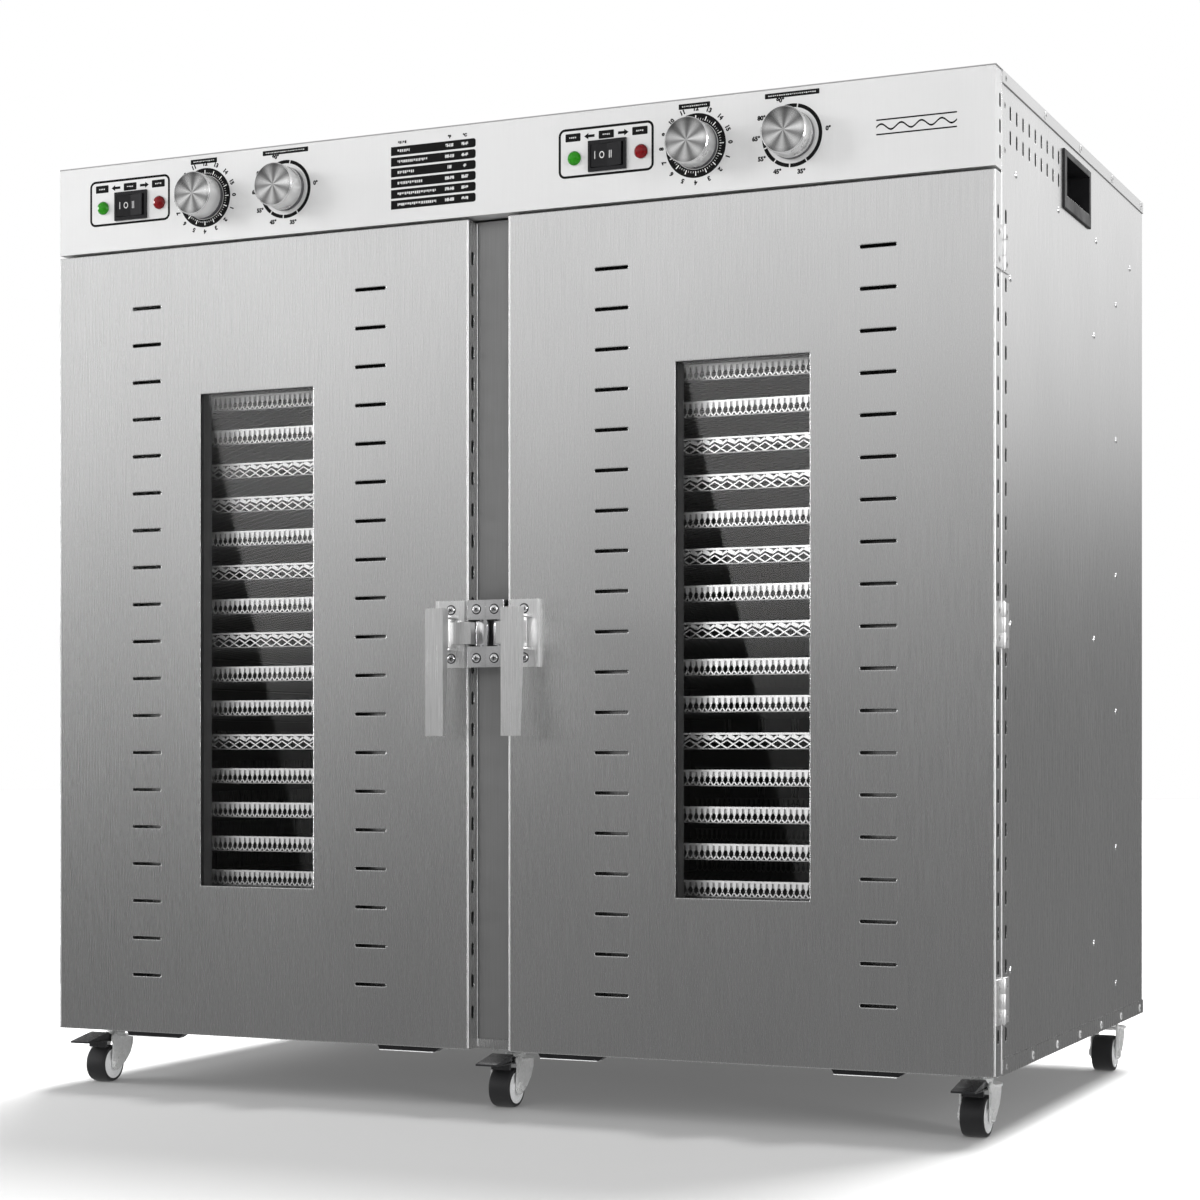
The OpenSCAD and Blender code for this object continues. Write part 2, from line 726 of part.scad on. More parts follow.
module wheel_form() {
    tread = wheel_w / 2;
    r = wheel_d / 2;
    translate([0, -axle_off, axle_z]) rotate([0, 90, 0]) rotate_extrude() polygon([
        [axle_r + running_gap, -tread], [5, -tread], [5.5, -tread + 2], [11.5, -tread + 2],
        [12.2, -tread + 0.6], [r - 1.6, -tread + 0.6], [r, -tread + 2.4], [r, tread - 2.4],
        [r - 1.6, tread - 0.6], [12.2, tread - 0.6], [11.5, tread - 2], [5.5, tread - 2],
        [5, tread], [axle_r + running_gap, tread]
    ]);
}

module front_left_fork() { color(zinc) caster_at(0, 0) fork_form(); }
module front_center_fork() { color(zinc) caster_at(1, 0) fork_form(); }
module front_right_fork() { color(zinc) caster_at(2, 0) fork_form(); }
module rear_left_fork() { color(zinc) caster_at(0, 1) fork_form(); }
module rear_center_fork() { color(zinc) caster_at(1, 1) fork_form(); }
module rear_right_fork() { color(zinc) caster_at(2, 1) fork_form(); }
module front_left_wheel() { color(tyre_black) caster_at(0, 0) wheel_form(); }
module front_center_wheel() { color(tyre_black) caster_at(1, 0) wheel_form(); }
module front_right_wheel() { color(tyre_black) caster_at(2, 0) wheel_form(); }
module rear_left_wheel() { color(tyre_black) caster_at(0, 1) wheel_form(); }
module rear_center_wheel() { color(tyre_black) caster_at(1, 1) wheel_form(); }
module rear_right_wheel() { color(tyre_black) caster_at(2, 1) wheel_form(); }

// Brake pedal hinged between the fork's front ears, with a shoe above the tread
module pedal_form() {
    half_w = 10;
    tip_y = -58;
    arm_t = 1.6;
    difference() {
        for (x = [-half_w, half_w - arm_t]) plate_yz(x, arm_t) {
            translate([pedal_pivot_y, pedal_pivot_z]) circle(r = 3);
            polygon([[pedal_pivot_y, -14], [tip_y, -12.4], [tip_y, -11.2], [-26, -5.4], [pedal_pivot_y, -8]]);
        }
        rod_x(-12, pedal_pivot_y, pedal_pivot_z, pedal_pin_r + running_gap, 24);
    }
    plate_yz(-half_w, 2 * half_w)
        polygon([[-24.5, -6.6], [-26, -7.2], [tip_y, -12.6], [tip_y, -11], [-26, -5.2], [-24.5, -5.2]]);
    plate_yz(-half_w + 1, 2 * half_w - 2) polygon([[-30, -6.4], [-30, -18.8], [-26.5, -18.8], [-26.5, -6]]);
}
module front_left_pedal() { color(tyre_black) caster_at(0, 0) pedal_form(); }
module front_center_pedal() { color(tyre_black) caster_at(1, 0) pedal_form(); }
module front_right_pedal() { color(tyre_black) caster_at(2, 0) pedal_form(); }

left_side_panel();
right_side_panel();
top_cover();
base_pan();
back_panel();
center_divider();
control_fascia();
control_bay_floor();
tray_rails();
rear_baffles();
cabinet_screws();
side_rivets();
side_grips();
rocker_housings();
green_lamps();
red_lamps();
control_units();
heating_elements();
fan_motors();
power_inlet();
cabinet_hinge_leaves();
latch_keepers();
left_trays();
right_trays();
caster_plates();
left_door();
right_door();
left_window();
right_window();
left_door_hinge_leaves();
right_door_hinge_leaves();
left_latch_bracket();
right_latch_bracket();
left_door_screws();
right_door_screws();
left_latch_lever();
right_latch_lever();
left_timer_knob();
right_timer_knob();
left_thermostat_knob();
right_thermostat_knob();
left_rocker();
right_rocker();
left_fan();
right_fan();
front_left_fork();
front_center_fork();
front_right_fork();
rear_left_fork();
rear_center_fork();
rear_right_fork();
front_left_wheel();
front_center_wheel();
front_right_wheel();
rear_left_wheel();
rear_center_wheel();
rear_right_wheel();
front_left_pedal();
front_center_pedal();
front_right_pedal();
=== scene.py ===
"""Looks of a dual-zone cabinet food dehydrator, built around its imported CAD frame.

Sizes are in cabinet millimetres, as in the part's source: x from the left side of the cabinet,
y back from the door fronts and z up from the base pan. cab() turns them into the row frame.
"""

import json
import math
import random

import bmesh
import bpy
from mathutils import Matrix, Vector

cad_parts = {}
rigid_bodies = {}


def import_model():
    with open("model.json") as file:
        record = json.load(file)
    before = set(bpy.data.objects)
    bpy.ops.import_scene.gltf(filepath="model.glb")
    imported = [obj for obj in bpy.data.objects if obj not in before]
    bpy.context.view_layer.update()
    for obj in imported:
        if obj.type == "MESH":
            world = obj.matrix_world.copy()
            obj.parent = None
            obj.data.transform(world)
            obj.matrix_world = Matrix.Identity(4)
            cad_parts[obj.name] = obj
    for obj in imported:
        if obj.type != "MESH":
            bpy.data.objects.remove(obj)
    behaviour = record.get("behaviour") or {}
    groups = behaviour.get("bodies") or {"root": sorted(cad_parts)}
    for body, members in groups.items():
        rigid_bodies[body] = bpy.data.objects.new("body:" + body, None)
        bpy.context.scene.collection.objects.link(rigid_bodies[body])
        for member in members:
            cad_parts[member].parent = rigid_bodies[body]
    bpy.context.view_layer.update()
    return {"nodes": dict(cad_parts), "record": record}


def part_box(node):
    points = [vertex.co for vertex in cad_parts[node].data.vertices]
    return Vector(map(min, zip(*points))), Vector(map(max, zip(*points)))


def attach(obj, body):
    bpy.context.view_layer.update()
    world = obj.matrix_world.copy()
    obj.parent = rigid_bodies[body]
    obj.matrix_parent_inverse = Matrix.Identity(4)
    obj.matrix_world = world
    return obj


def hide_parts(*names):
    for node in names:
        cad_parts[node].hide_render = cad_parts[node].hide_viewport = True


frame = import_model()

MM = 0.001
CAB_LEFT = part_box("top_cover")[0].x
DOOR_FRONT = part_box("left_door")[0].y
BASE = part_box("base_pan")[0].z
CAB_W = (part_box("top_cover")[1].x - CAB_LEFT) / MM


def cab(x, y, z):
    """A point in cabinet millimetres, in the row frame."""
    return Vector((CAB_LEFT + x * MM, DOOR_FRONT + y * MM, BASE + z * MM))


def in_cab(point):
    """A point of the row frame, in cabinet millimetres."""
    return (point - cab(0, 0, 0)) / MM


def cab_box(node):
    """A CAD node's lowest and highest corners, in cabinet millimetres."""
    return [in_cab(corner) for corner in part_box(node)]


# -------- materials
def new_material(name):
    material = bpy.data.materials.new(name)
    material.use_nodes = True
    return material, material.node_tree, material.node_tree.nodes["Principled BSDF"]


def link(tree, source, target):
    tree.links.new(source, target)


def fill(node, values):
    """Sets a node's inputs by name."""
    for name, value in values.items():
        node.inputs[name].default_value = value


def noise(tree, scale, detail=2.0, rough=0.55):
    """Noise over the object's own coordinates, with a scale for each axis, in cells per metre."""
    coords = tree.nodes.new("ShaderNodeTexCoord")
    mapping = tree.nodes.new("ShaderNodeMapping")
    mapping.inputs["Scale"].default_value = scale
    link(tree, coords.outputs["Object"], mapping.inputs["Vector"])
    texture = tree.nodes.new("ShaderNodeTexNoise")
    fill(texture, {"Scale": 1.0, "Detail": detail, "Roughness": rough})
    link(tree, mapping.outputs["Vector"], texture.inputs["Vector"])
    return texture.outputs["Fac"]


def spread(tree, value, low, high, start=0.3, stop=0.7):
    """Stretches value's usual range, from start to stop, to run from low to high."""
    node = tree.nodes.new("ShaderNodeMapRange")
    fill(node, {"From Min": start, "From Max": stop, "To Min": low, "To Max": high})
    link(tree, value, node.inputs["Value"])
    return node.outputs["Result"]


def calculate(tree, operation, *values):
    """A Math node's result. Each value is a number or another node's output."""
    node = tree.nodes.new("ShaderNodeMath")
    node.operation = operation
    for socket, value in zip(node.inputs, values):
        if isinstance(value, float):
            socket.default_value = value
        else:
            link(tree, value, socket)
    return node.outputs["Value"]


def tint(tree, colour, factor):
    """colour times a grey factor that varies over the surface."""
    node = tree.nodes.new("ShaderNodeMix")
    node.data_type = "RGBA"
    node.blend_type = "MULTIPLY"
    fill(node, {"Factor": 1.0, "A": (*colour, 1.0)})
    link(tree, factor, node.inputs["B"])
    return node.outputs["Result"]


def bump(tree, bsdf, height, distance, edge=0.0):
    """Relief over the surface, and edges that look rounded to this radius."""
    node = tree.nodes.new("ShaderNodeBump")
    node.inputs["Distance"].default_value = distance
    link(tree, height, node.inputs["Height"])
    if edge:
        rounding = tree.nodes.new("ShaderNodeBevel")
        rounding.samples = 6
        rounding.inputs["Radius"].default_value = edge
        link(tree, rounding.outputs["Normal"], node.inputs["Normal"])
    link(tree, node.outputs["Normal"], bsdf.inputs["Normal"])


def run_round(tree, bsdf, axis):
    """Turns the stretch of the highlights to run round one of the object's axes."""
    tangent = tree.nodes.new("ShaderNodeTangent")
    tangent.direction_type = "RADIAL"
    tangent.axis = axis
    link(tree, tangent.outputs["Tangent"], bsdf.inputs["Tangent"])


def brushed(
    name, grey, rough, grain, streak=0.06, rough_var=0.04, depth=1e-6, aniso=0.75, metallic=1.0, edge=0.0
):
    """Brushed sheet metal. grain is the cells per metre along x, y and z, fewest along the brushing."""
    material, tree, bsdf = new_material(name)
    fine = noise(tree, grain, detail=4.0, rough=0.6)
    cloud = noise(tree, (7.0, 7.0, 4.0))
    streaks = spread(tree, fine, 1 - streak, 1 + streak)
    shade = calculate(tree, "MULTIPLY", streaks, spread(tree, cloud, 0.97, 1.03))
    link(tree, tint(tree, (grey,) * 3, shade), bsdf.inputs["Base Color"])
    link(tree, spread(tree, fine, rough + rough_var, rough - rough_var), bsdf.inputs["Roughness"])
    bump(tree, bsdf, fine, depth, edge)
    fill(bsdf, {"Metallic": metallic, "Anisotropic": aniso})
    run_round(tree, bsdf, "Z")
    return material


def cast(
    name, colour, rough, metallic=0.0, grain=900.0, shade=0.12, rough_var=0.08, depth=1.5e-5,
    coat=0.0, specular=0.5,
):
    """An even finish with a fine pebbled grain, for mouldings, plating, rubber and enamel."""
    material, tree, bsdf = new_material(name)
    fine = noise(tree, (grain,) * 3, detail=3.0)
    patch = noise(tree, (grain / 18,) * 3)
    pebbles = spread(tree, fine, 1 - shade, 1 + shade)
    factor = calculate(tree, "MULTIPLY", pebbles, spread(tree, patch, 1 - shade, 1 + shade / 2))
    link(tree, tint(tree, colour, factor), bsdf.inputs["Base Color"])
    link(tree, spread(tree, patch, rough - rough_var, rough + rough_var), bsdf.inputs["Roughness"])
    bump(tree, bsdf, fine, depth)
    fill(bsdf, {"Metallic": metallic, "Specular IOR Level": specular})
    fill(bsdf, {"Coat Weight": coat, "Coat Roughness": 0.12})
    return material


def lens(name, colour, glow):
    """A moulded indicator lens with a ribbed inner face."""
    material, tree, bsdf = new_material(name)
    ribs = noise(tree, (900.0, 200.0, 900.0))
    link(tree, tint(tree, colour, spread(tree, ribs, 0.8, 1.15)), bsdf.inputs["Base Color"])
    link(tree, spread(tree, ribs, 0.10, 0.22), bsdf.inputs["Roughness"])
    fill(bsdf, {"Specular IOR Level": 0.25, "Coat Weight": 0.25, "Coat Roughness": 0.04})
    fill(bsdf, {"Emission Color": (*colour, 1.0), "Emission Strength": glow})
    return material


def pane(name, see, sheen):
    """Clear glass that lets see of the light through each face. sheen is what it mirrors head on."""
    material, tree, bsdf = new_material(name)
    tree.nodes.remove(bsdf)
    clear = tree.nodes.new("ShaderNodeBsdfTransparent")
    clear.inputs["Color"].default_value = (*see, 1.0)
    gloss = tree.nodes.new("ShaderNodeBsdfGlossy")
    gloss.inputs["Color"].default_value = (1.0, 1.0, 1.0, 1.0)
    smear = noise(tree, (9.0, 9.0, 5.0), detail=4.0)
    link(tree, spread(tree, smear, 0.004, 0.012), gloss.inputs["Roughness"])
    facing = tree.nodes.new("ShaderNodeLayerWeight")
    facing.inputs["Blend"].default_value = 0.5
    steep = calculate(tree, "POWER", facing.outputs["Facing"], 5.0)
    mix = tree.nodes.new("ShaderNodeMixShader")
    link(tree, spread(tree, steep, sheen, 1.0, 0.0, 1.0), mix.inputs["Fac"])
    link(tree, clear.outputs["BSDF"], mix.inputs[1])
    link(tree, gloss.outputs["BSDF"], mix.inputs[2])
    link(tree, mix.outputs["Shader"], tree.nodes["Material Output"].inputs["Surface"])
    return material


def spun(name, colour, rough):
    """A lathe-turned knob face: fine rings, and painted highlights in bright and dark sectors that spread
    out from the centre and dim towards the rim.
    """
    material, tree, bsdf = new_material(name)
    coords = tree.nodes.new("ShaderNodeTexCoord")
    centred = tree.nodes.new("ShaderNodeMapping")
    fill(centred, {"Location": (-0.5, 0.0, -0.5), "Scale": (1.0, 0.0, 1.0)})
    link(tree, coords.outputs["Generated"], centred.inputs["Vector"])
    radius = tree.nodes.new("ShaderNodeVectorMath")
    radius.operation = "LENGTH"
    link(tree, centred.outputs["Vector"], radius.inputs[0])
    split = tree.nodes.new("ShaderNodeSeparateXYZ")
    link(tree, centred.outputs["Vector"], split.inputs["Vector"])
    angle = calculate(tree, "ARCTAN2", split.outputs["Z"], split.outputs["X"])
    # Bright and dark sectors by angle round the centre: a painted highlight in the base colour, standing
    # for the reflections on a spun face.
    rays, start = 7.0, 0.9
    painted_sectors = calculate(tree, "SINE", calculate(tree, "MULTIPLY_ADD", angle, rays, start))
    rings = tree.nodes.new("ShaderNodeTexWave")
    rings.wave_type = "RINGS"
    rings.rings_direction = "Y"
    fill(rings, {"Scale": 22.0, "Distortion": 1.5})
    link(tree, centred.outputs["Vector"], rings.inputs["Vector"])
    turned = rings.outputs["Fac"]
    shade = spread(tree, painted_sectors, 0.34, 0.96, -1.0, 1.0)
    # The second factor darkens the painted sectors towards the rim.
    for factor in (
        spread(tree, turned, 0.92, 1.0, 0.0, 1.0),
        spread(tree, radius.outputs["Value"], 1.0, 0.6, 0.38, 0.5),
    ):
        shade = calculate(tree, "MULTIPLY", shade, factor)
    link(tree, tint(tree, colour, shade), bsdf.inputs["Base Color"])
    link(tree, spread(tree, turned, rough, rough + 0.08, 0.0, 1.0), bsdf.inputs["Roughness"])
    fill(bsdf, {"Metallic": 1.0, "Anisotropic": 0.85, "Anisotropic Rotation": 0.25})
    run_round(tree, bsdf, "Y")
    return material


ALONG_Z = (1500.0, 1500.0, 22.0)
ALONG_X = (22.0, 1500.0, 1500.0)
MATERIALS = {
    "brushed_panel": brushed("brushed_panel", 0.74, 0.27, ALONG_Z, edge=0.0012),
    "brushed_fascia": brushed("brushed_fascia", 0.675, 0.36, ALONG_Z, 0.012, 0.02, 3e-7, metallic=0.6),
    # The inner sheet is the cabinet's steel made dark grey and dull: painted shade for the sheet inside the
    # cabinet and the divider between the doors.
    "inner_sheet": brushed("inner_sheet", 0.27, 0.45, ALONG_Z, streak=0.05, metallic=0.4),
    "polished_steel": cast("polished_steel", (0.82, 0.82, 0.83), 0.18, 1.0, shade=0.04, rough_var=0.05),
    "latch_steel": brushed("latch_steel", 0.86, 0.30, ALONG_Z, streak=0.1, aniso=0.5, metallic=0.85),
    "black_plastic": cast("black_plastic", (0.011, 0.011, 0.012), 0.36, specular=0.2),
    "green_lens": lens("green_lens", (0.012, 0.15, 0.003), 0.10),
    "red_lens": lens("red_lens", (0.13, 0.001, 0.003), 0.05),
    "control_plastic": cast("control_plastic", (0.72, 0.71, 0.66), 0.5),
    "heater_sheath": cast("heater_sheath", (0.16, 0.145, 0.135), 0.42, 1.0, grain=260.0, shade=0.25),
    "motor_paint": cast("motor_paint", (0.05, 0.05, 0.055), 0.4),
    "tray_mesh": cast("tray_mesh", (0.62,) * 3, 0.36, 0.4, shade=0.06, specular=0.6),
    "window_glass": pane("window_glass", (0.88,) * 3, 0.0083),
    "spun_aluminium": spun("spun_aluminium", (0.80,) * 3, 0.24),
    "fan_sheet": cast("fan_sheet", (0.7, 0.7, 0.71), 0.3, 1.0, shade=0.07),
    "caster_zinc": cast(
        "caster_zinc", (0.86, 0.865, 0.86), 0.3, 0.45, grain=420.0, shade=0.08, specular=0.9
    ),
    "tyre_rubber": cast("tyre_rubber", (0.012, 0.012, 0.013), 0.55, depth=3e-5),
    "pedal_black": cast("pedal_black", (0.012, 0.012, 0.014), 0.25, coat=0.6),
}
LID = brushed("brushed_lid", 0.74, 0.3, ALONG_X, aniso=0.0)
PAN = brushed("brushed_pan", 0.74, 0.27, ALONG_Z)
LEVER_STEEL = brushed("lever_steel", 0.70, 0.30, ALONG_Z, streak=0.2, aniso=0.5, metallic=0.85)
# A near-black copy of the brushed sheet: painted shade for the frames behind the glass.
FRAME_SHADE = brushed("window_frame_painted_shade", 0.075, 0.5, ALONG_Z, streak=0.05, metallic=0.3)
BLACK_INK = cast("black_ink", (0.006,) * 3, 0.75, shade=0.2, depth=2e-6, specular=0.12)
WHITE_INK = cast("white_ink", (0.82,) * 3, 0.5, shade=0.05, depth=2e-6)
GREY_INK = cast("grey_ink", (0.5,) * 3, 0.5, shade=0.08, depth=2e-6)
CHAMFER = cast("turned_chamfer", (0.93, 0.93, 0.935), 0.12, 1.0, shade=0.02, rough_var=0.03)
KNOB_SIDE = cast("knob_side", (0.70,) * 3, 0.3, 0.7, shade=0.04, specular=0.8)
KNOB_SKIRT = cast("knob_skirt", (0.10, 0.10, 0.105), 0.35, 0.6)
# Near black: painted shade, for vent walls, the base rim's top face, screw recesses and the rings round
# screw heads.
PAINTED_SHADE = cast("painted_recess_shade", (0.018,) * 3, 0.6, shade=0.1, specular=0.2)
# Near white and barely metallic: a painted highlight for the polished latch barrels, which are the same
# steel as the levers.
BARREL_HIGHLIGHT = cast("latch_barrel_painted_highlight", (0.96,) * 3, 0.24, 0.3, shade=0.02, specular=0.9)
PLATED = cast("plated_head", (0.74,) * 3, 0.42, 0.6, shade=0.05)
DULL_HEAD = cast("dull_head", (0.40,) * 3, 0.5, 0.5, shade=0.05)
HEM = cast("folded_hem", (0.90,) * 3, 0.42, 1.0, shade=0.04, rough_var=0.03)
# Darker copies of the tray steel: painted shade for the tray floors and for the bands behind and under the
# rims.
SHADED_TRAY_FLOOR = cast("tray_floor", (0.30,) * 3, 0.4, 0.9, shade=0.08)
SHADED_TRAY_BAND = cast("tray_band_painted_shade", (0.26,) * 3, 0.4, 0.4, shade=0.08)
HUB_GREY = cast("hub_grey", (0.76, 0.765, 0.77), 0.42, shade=0.06)


def finish_node(node, material):
    """Gives every material slot of a CAD node one material."""
    mesh = frame["nodes"][node].data
    mesh.materials.clear()
    mesh.materials.append(material)


def soften(node, width):
    """Rounds a CAD node's sharp edges, so that they catch the light."""
    sharp = 50.0
    obj = frame["nodes"][node]
    weld = obj.modifiers.new("weld", "WELD")
    weld.merge_threshold = 1e-6
    bevel = obj.modifiers.new("bevel", "BEVEL")
    bevel.width = width * MM
    bevel.segments = 2
    bevel.limit_method = "ANGLE"
    bevel.angle_limit = math.radians(sharp)


for part in frame["record"]["subparts"]:
    finish_node(part["node"], MATERIALS[part["material_slot"]])
finish_node("top_cover", LID)
finish_node("base_pan", PAN)
for side in ("left", "right"):
    finish_node(f"{side}_latch_lever", LEVER_STEEL)


def recolour(node, material, chosen):
    """Gives a material of its own to each face that chosen(centre, normal) picks out of a CAD node."""
    mesh = frame["nodes"][node].data
    mesh.materials.append(material)
    for face in mesh.polygons:
        if chosen(in_cab(face.center), face.normal):
            face.material_index = len(mesh.materials) - 1


def darken_window_frame(side):
    """The frame behind a door's glass is painted near black, as painted shade for the shade of the cabinet
    that it lies in.
    """
    low, high = cab_box(f"{side}_window")
    skin = low.y + 0.3
    margin = 2.0

    def behind_glass(at, normal):
        beside = low.x - margin < at.x < high.x + margin
        return at.y > skin and beside and low.z - margin < at.z < high.z + margin

    recolour(f"{side}_door", FRAME_SHADE, behind_glass)


def darken_slots(node):
    """The cut walls of the vents in a sheet, painted near black as painted shade, since they see only each
    other and the dark inside.
    """
    low, high = cab_box(node)
    margin, thick = 3.0, 1.3

    def in_vent(at, normal):
        if not low.z + margin < at.z < high.z - margin:
            return False
        side_sheet = min(at.x - low.x, high.x - at.x) < thick and low.y + margin < at.y < high.y - margin
        front_sheet = at.y - low.y < thick and low.x + margin < at.x < high.x - margin
        if side_sheet and abs(normal.x) < 0.5:
            return True
        return node.endswith("_door") and front_sheet and abs(normal.y) < 0.5

    recolour(node, PAINTED_SHADE, in_vent)


def darken_pan_rim():
    """The upturned rim of the base, whose thin top face is painted near black as painted shade, so that its
    edge shows only as a dark seam.
    """
    top = cab_box("base_pan")[1].z - 0.3
    recolour("base_pan", PAINTED_SHADE, lambda at, normal: at.z > top and normal.z > 0.9)


def brighten_knuckles(node):
    """The rolled knuckles of the hinges, which stand proud of the sides, are polished."""
    low = cab_box("left_side_panel")[0].x - 0.2
    high = cab_box("right_side_panel")[1].x + 0.2
    recolour(node, HEM, lambda at, normal: not low <= at.x <= high)


def brighten_barrel(side):
    """The turned barrel of a latch lever, and the block that carries it, are polished steel, given a
    near-white, barely metallic finish as a painted highlight.
    """
    low, high = cab_box(f"{side}_latch_lever")
    half_blade, half_barrel, blade_back = 8.5, 6.5, -16.0
    barrel_low, barrel_high = 346.0, 373.0
    pivot = high.x - half_blade if side == "right" else low.x + half_blade

    def on_barrel(at, normal):
        return abs(at.x - pivot) < half_barrel and at.y > blade_back and barrel_low < at.z < barrel_high

    recolour(f"{side}_latch_lever", BARREL_HIGHLIGHT, on_barrel)


for node in ("left_side_panel", "right_side_panel", "control_fascia", "left_door", "right_door"):
    darken_slots(node)
darken_pan_rim()
for node in ("cabinet_hinge_leaves", "left_door_hinge_leaves", "right_door_hinge_leaves"):
    brighten_knuckles(node)
for side in ("left", "right"):
    darken_window_frame(side)
    brighten_barrel(side)
    soften(f"{side}_latch_lever", 0.5)
    soften(f"{side}_latch_bracket", 0.45)
    soften(f"{side}_door_hinge_leaves", 0.4)
for node in ("control_fascia", "top_cover", "center_divider", "cabinet_hinge_leaves", "latch_keepers"):
    soften(node, 0.5)
for node in ("side_grips", "rocker_housings"):
    soften(node, 0.8)
for node in [n for n in frame["nodes"] if n.endswith(("_fork", "_pedal"))]:
    soften(node, 0.3)


# -------- mesh building
def add_object(name, data):
    obj = bpy.data.objects.new(name, data)
    bpy.context.scene.collection.objects.link(obj)
    return obj


class Shape:
    """Vertices and faces of one piece, collected in cabinet millimetres."""

    def __init__(self):
        self.points = []
        self.faces = []
        self.slots = []

    def add(self, points, faces, slot=0):
        first = len(self.points)
        self.points += points
        self.faces += [[first + i for i in face] for face in faces]
        self.slots += [slot] * len(faces)

    def block(self, low, high, slot=0):
        """A box between two corners."""
        (a, b, c), (d, e, f) = low, high
        points = [(x, y, z) for x in (a, d) for y in (b, e) for z in (c, f)]
        faces = [(0, 1, 3, 2), (4, 6, 7, 5), (0, 4, 5, 1), (2, 3, 7, 6), (0, 2, 6, 4), (1, 5, 7, 3)]
        self.add(points, faces, slot)

    def prism(self, outline, front, back, slot=0, depth_at=None):
        """An outline in x and z, run from front to back. depth_at(x) shifts it in y to lie on a surface."""
        shift = depth_at or (lambda x: 0.0)
        n = len(outline)
        points = [(x, y + shift(x), z) for y in (front, back) for x, z in outline]
        sides = [(i, (i + 1) % n, n + (i + 1) % n, n + i) for i in range(n)]
        self.add(points, [list(range(n))[::-1], list(range(n, 2 * n)), *sides], slot)

    def arc(self, x, z, inner, outer, front, back, start=0.0, sweep=360.0, slot=0):
        """A flat ring, or part of one. Angles are in degrees, from +x towards +z."""
        steps = max(2, int(abs(sweep) / 6))
        closed = abs(sweep) >= 360
        rows = steps if closed else steps + 1
        points = []
        for i in range(rows):
            a = math.radians(start + sweep * i / steps)
            for r, y in ((inner, front), (outer, front), (outer, back), (inner, back)):
                points.append((x + r * math.cos(a), y, z + r * math.sin(a)))
        faces = []
        for i in range(steps):
            j = (i + 1) % rows
            faces += [[4 * i + k, 4 * j + k, 4 * j + (k + 1) % 4, 4 * i + (k + 1) % 4] for k in range(4)]
        if not closed:
            last = 4 * steps
            faces += [[0, 1, 2, 3], [last + 3, last + 2, last + 1, last]]
        self.add(points, faces, slot)

    def lathe(self, place, profile, slots=None, steps=48, axis="y"):
        """Turns a closed profile of (radius, distance along the axis) about an axis through place."""
        n = len(profile)
        first = len(self.points)
        for i in range(steps):
            a = 2 * math.pi * i / steps
            for r, along in profile:
                u, v = r * math.cos(a), r * math.sin(a)
                offset = {"y": (u, along, v), "x": (along, u, v), "z": (u, v, along)}[axis]
                self.points.append(tuple(p + q for p, q in zip(place, offset)))
        for k in range(n):
            m = (k + 1) % n
            if profile[k][0] == profile[m][0] == 0.0:
                continue
            for i in range(steps):
                j = (i + 1) % steps
                self.faces.append([first + q for q in (i * n + k, j * n + k, j * n + m, i * n + m)])
                self.slots.append(slots[k] if slots else 0)

    def bar(self, a, b, width, height, up=(0.0, 1.0, 0.0)):
        """A straight flat strip from a to b, height thick along up."""
        a, b, up = Vector(a), Vector(b), Vector(up).normalized()
        side = (b - a).cross(up).normalized() * width / 2
        rise = up * height / 2
        corners = [p + s * side + t * rise for p in (a, b) for s, t in ((-1, -1), (1, -1), (1, 1), (-1, 1))]
        faces = [(3, 2, 1, 0), (4, 5, 6, 7), (0, 1, 5, 4), (1, 2, 6, 5), (2, 3, 7, 6), (3, 0, 4, 7)]
        self.add([tuple(c) for c in corners], faces)

    def piece(self, name, body, slot, materials, replaces=(), smooth=None):
        """Makes the Blender object. smooth is the angle, in degrees, above which an edge stays sharp."""
        mesh = bpy.data.meshes.new(name)
        mesh.from_pydata([cab(*p) for p in self.points], [], self.faces)
        for material in materials:
            mesh.materials.append(material)
        mesh.polygons.foreach_set("material_index", self.slots)
        tidy = bmesh.new()
        tidy.from_mesh(mesh)
        bmesh.ops.remove_doubles(tidy, verts=tidy.verts, dist=1e-7)
        bmesh.ops.dissolve_degenerate(tidy, edges=tidy.edges, dist=1e-8)
        bmesh.ops.recalc_face_normals(tidy, faces=tidy.faces)
        tidy.to_mesh(mesh)
        tidy.free()
        if smooth is not None:
            mesh.shade_smooth()
            mesh.set_sharp_from_angle(angle=math.radians(smooth))
        obj = add_object(name, mesh)
        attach(obj, body)
        if replaces:
            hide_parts(*replaces)
        return obj


def rounded(x0, z0, x1, z1, radii, steps=6):
    """A rectangle's outline with a radius for each corner, from the lower left anticlockwise."""
    corners = [(x0, z0, 1, 1, 180), (x1, z0, -1, 1, 270), (x1, z1, -1, -1, 0), (x0, z1, 1, -1, 90)]
    outline = []
    for (x, z, sx, sz, start), r in zip(corners, radii):
        if r == 0:
            outline.append((x, z))
            continue
        for i in range(steps + 1):
            a = math.radians(start + 90 * i / steps)
            outline.append((x + sx * r + r * math.cos(a), z + sz * r + r * math.sin(a)))
    return outline


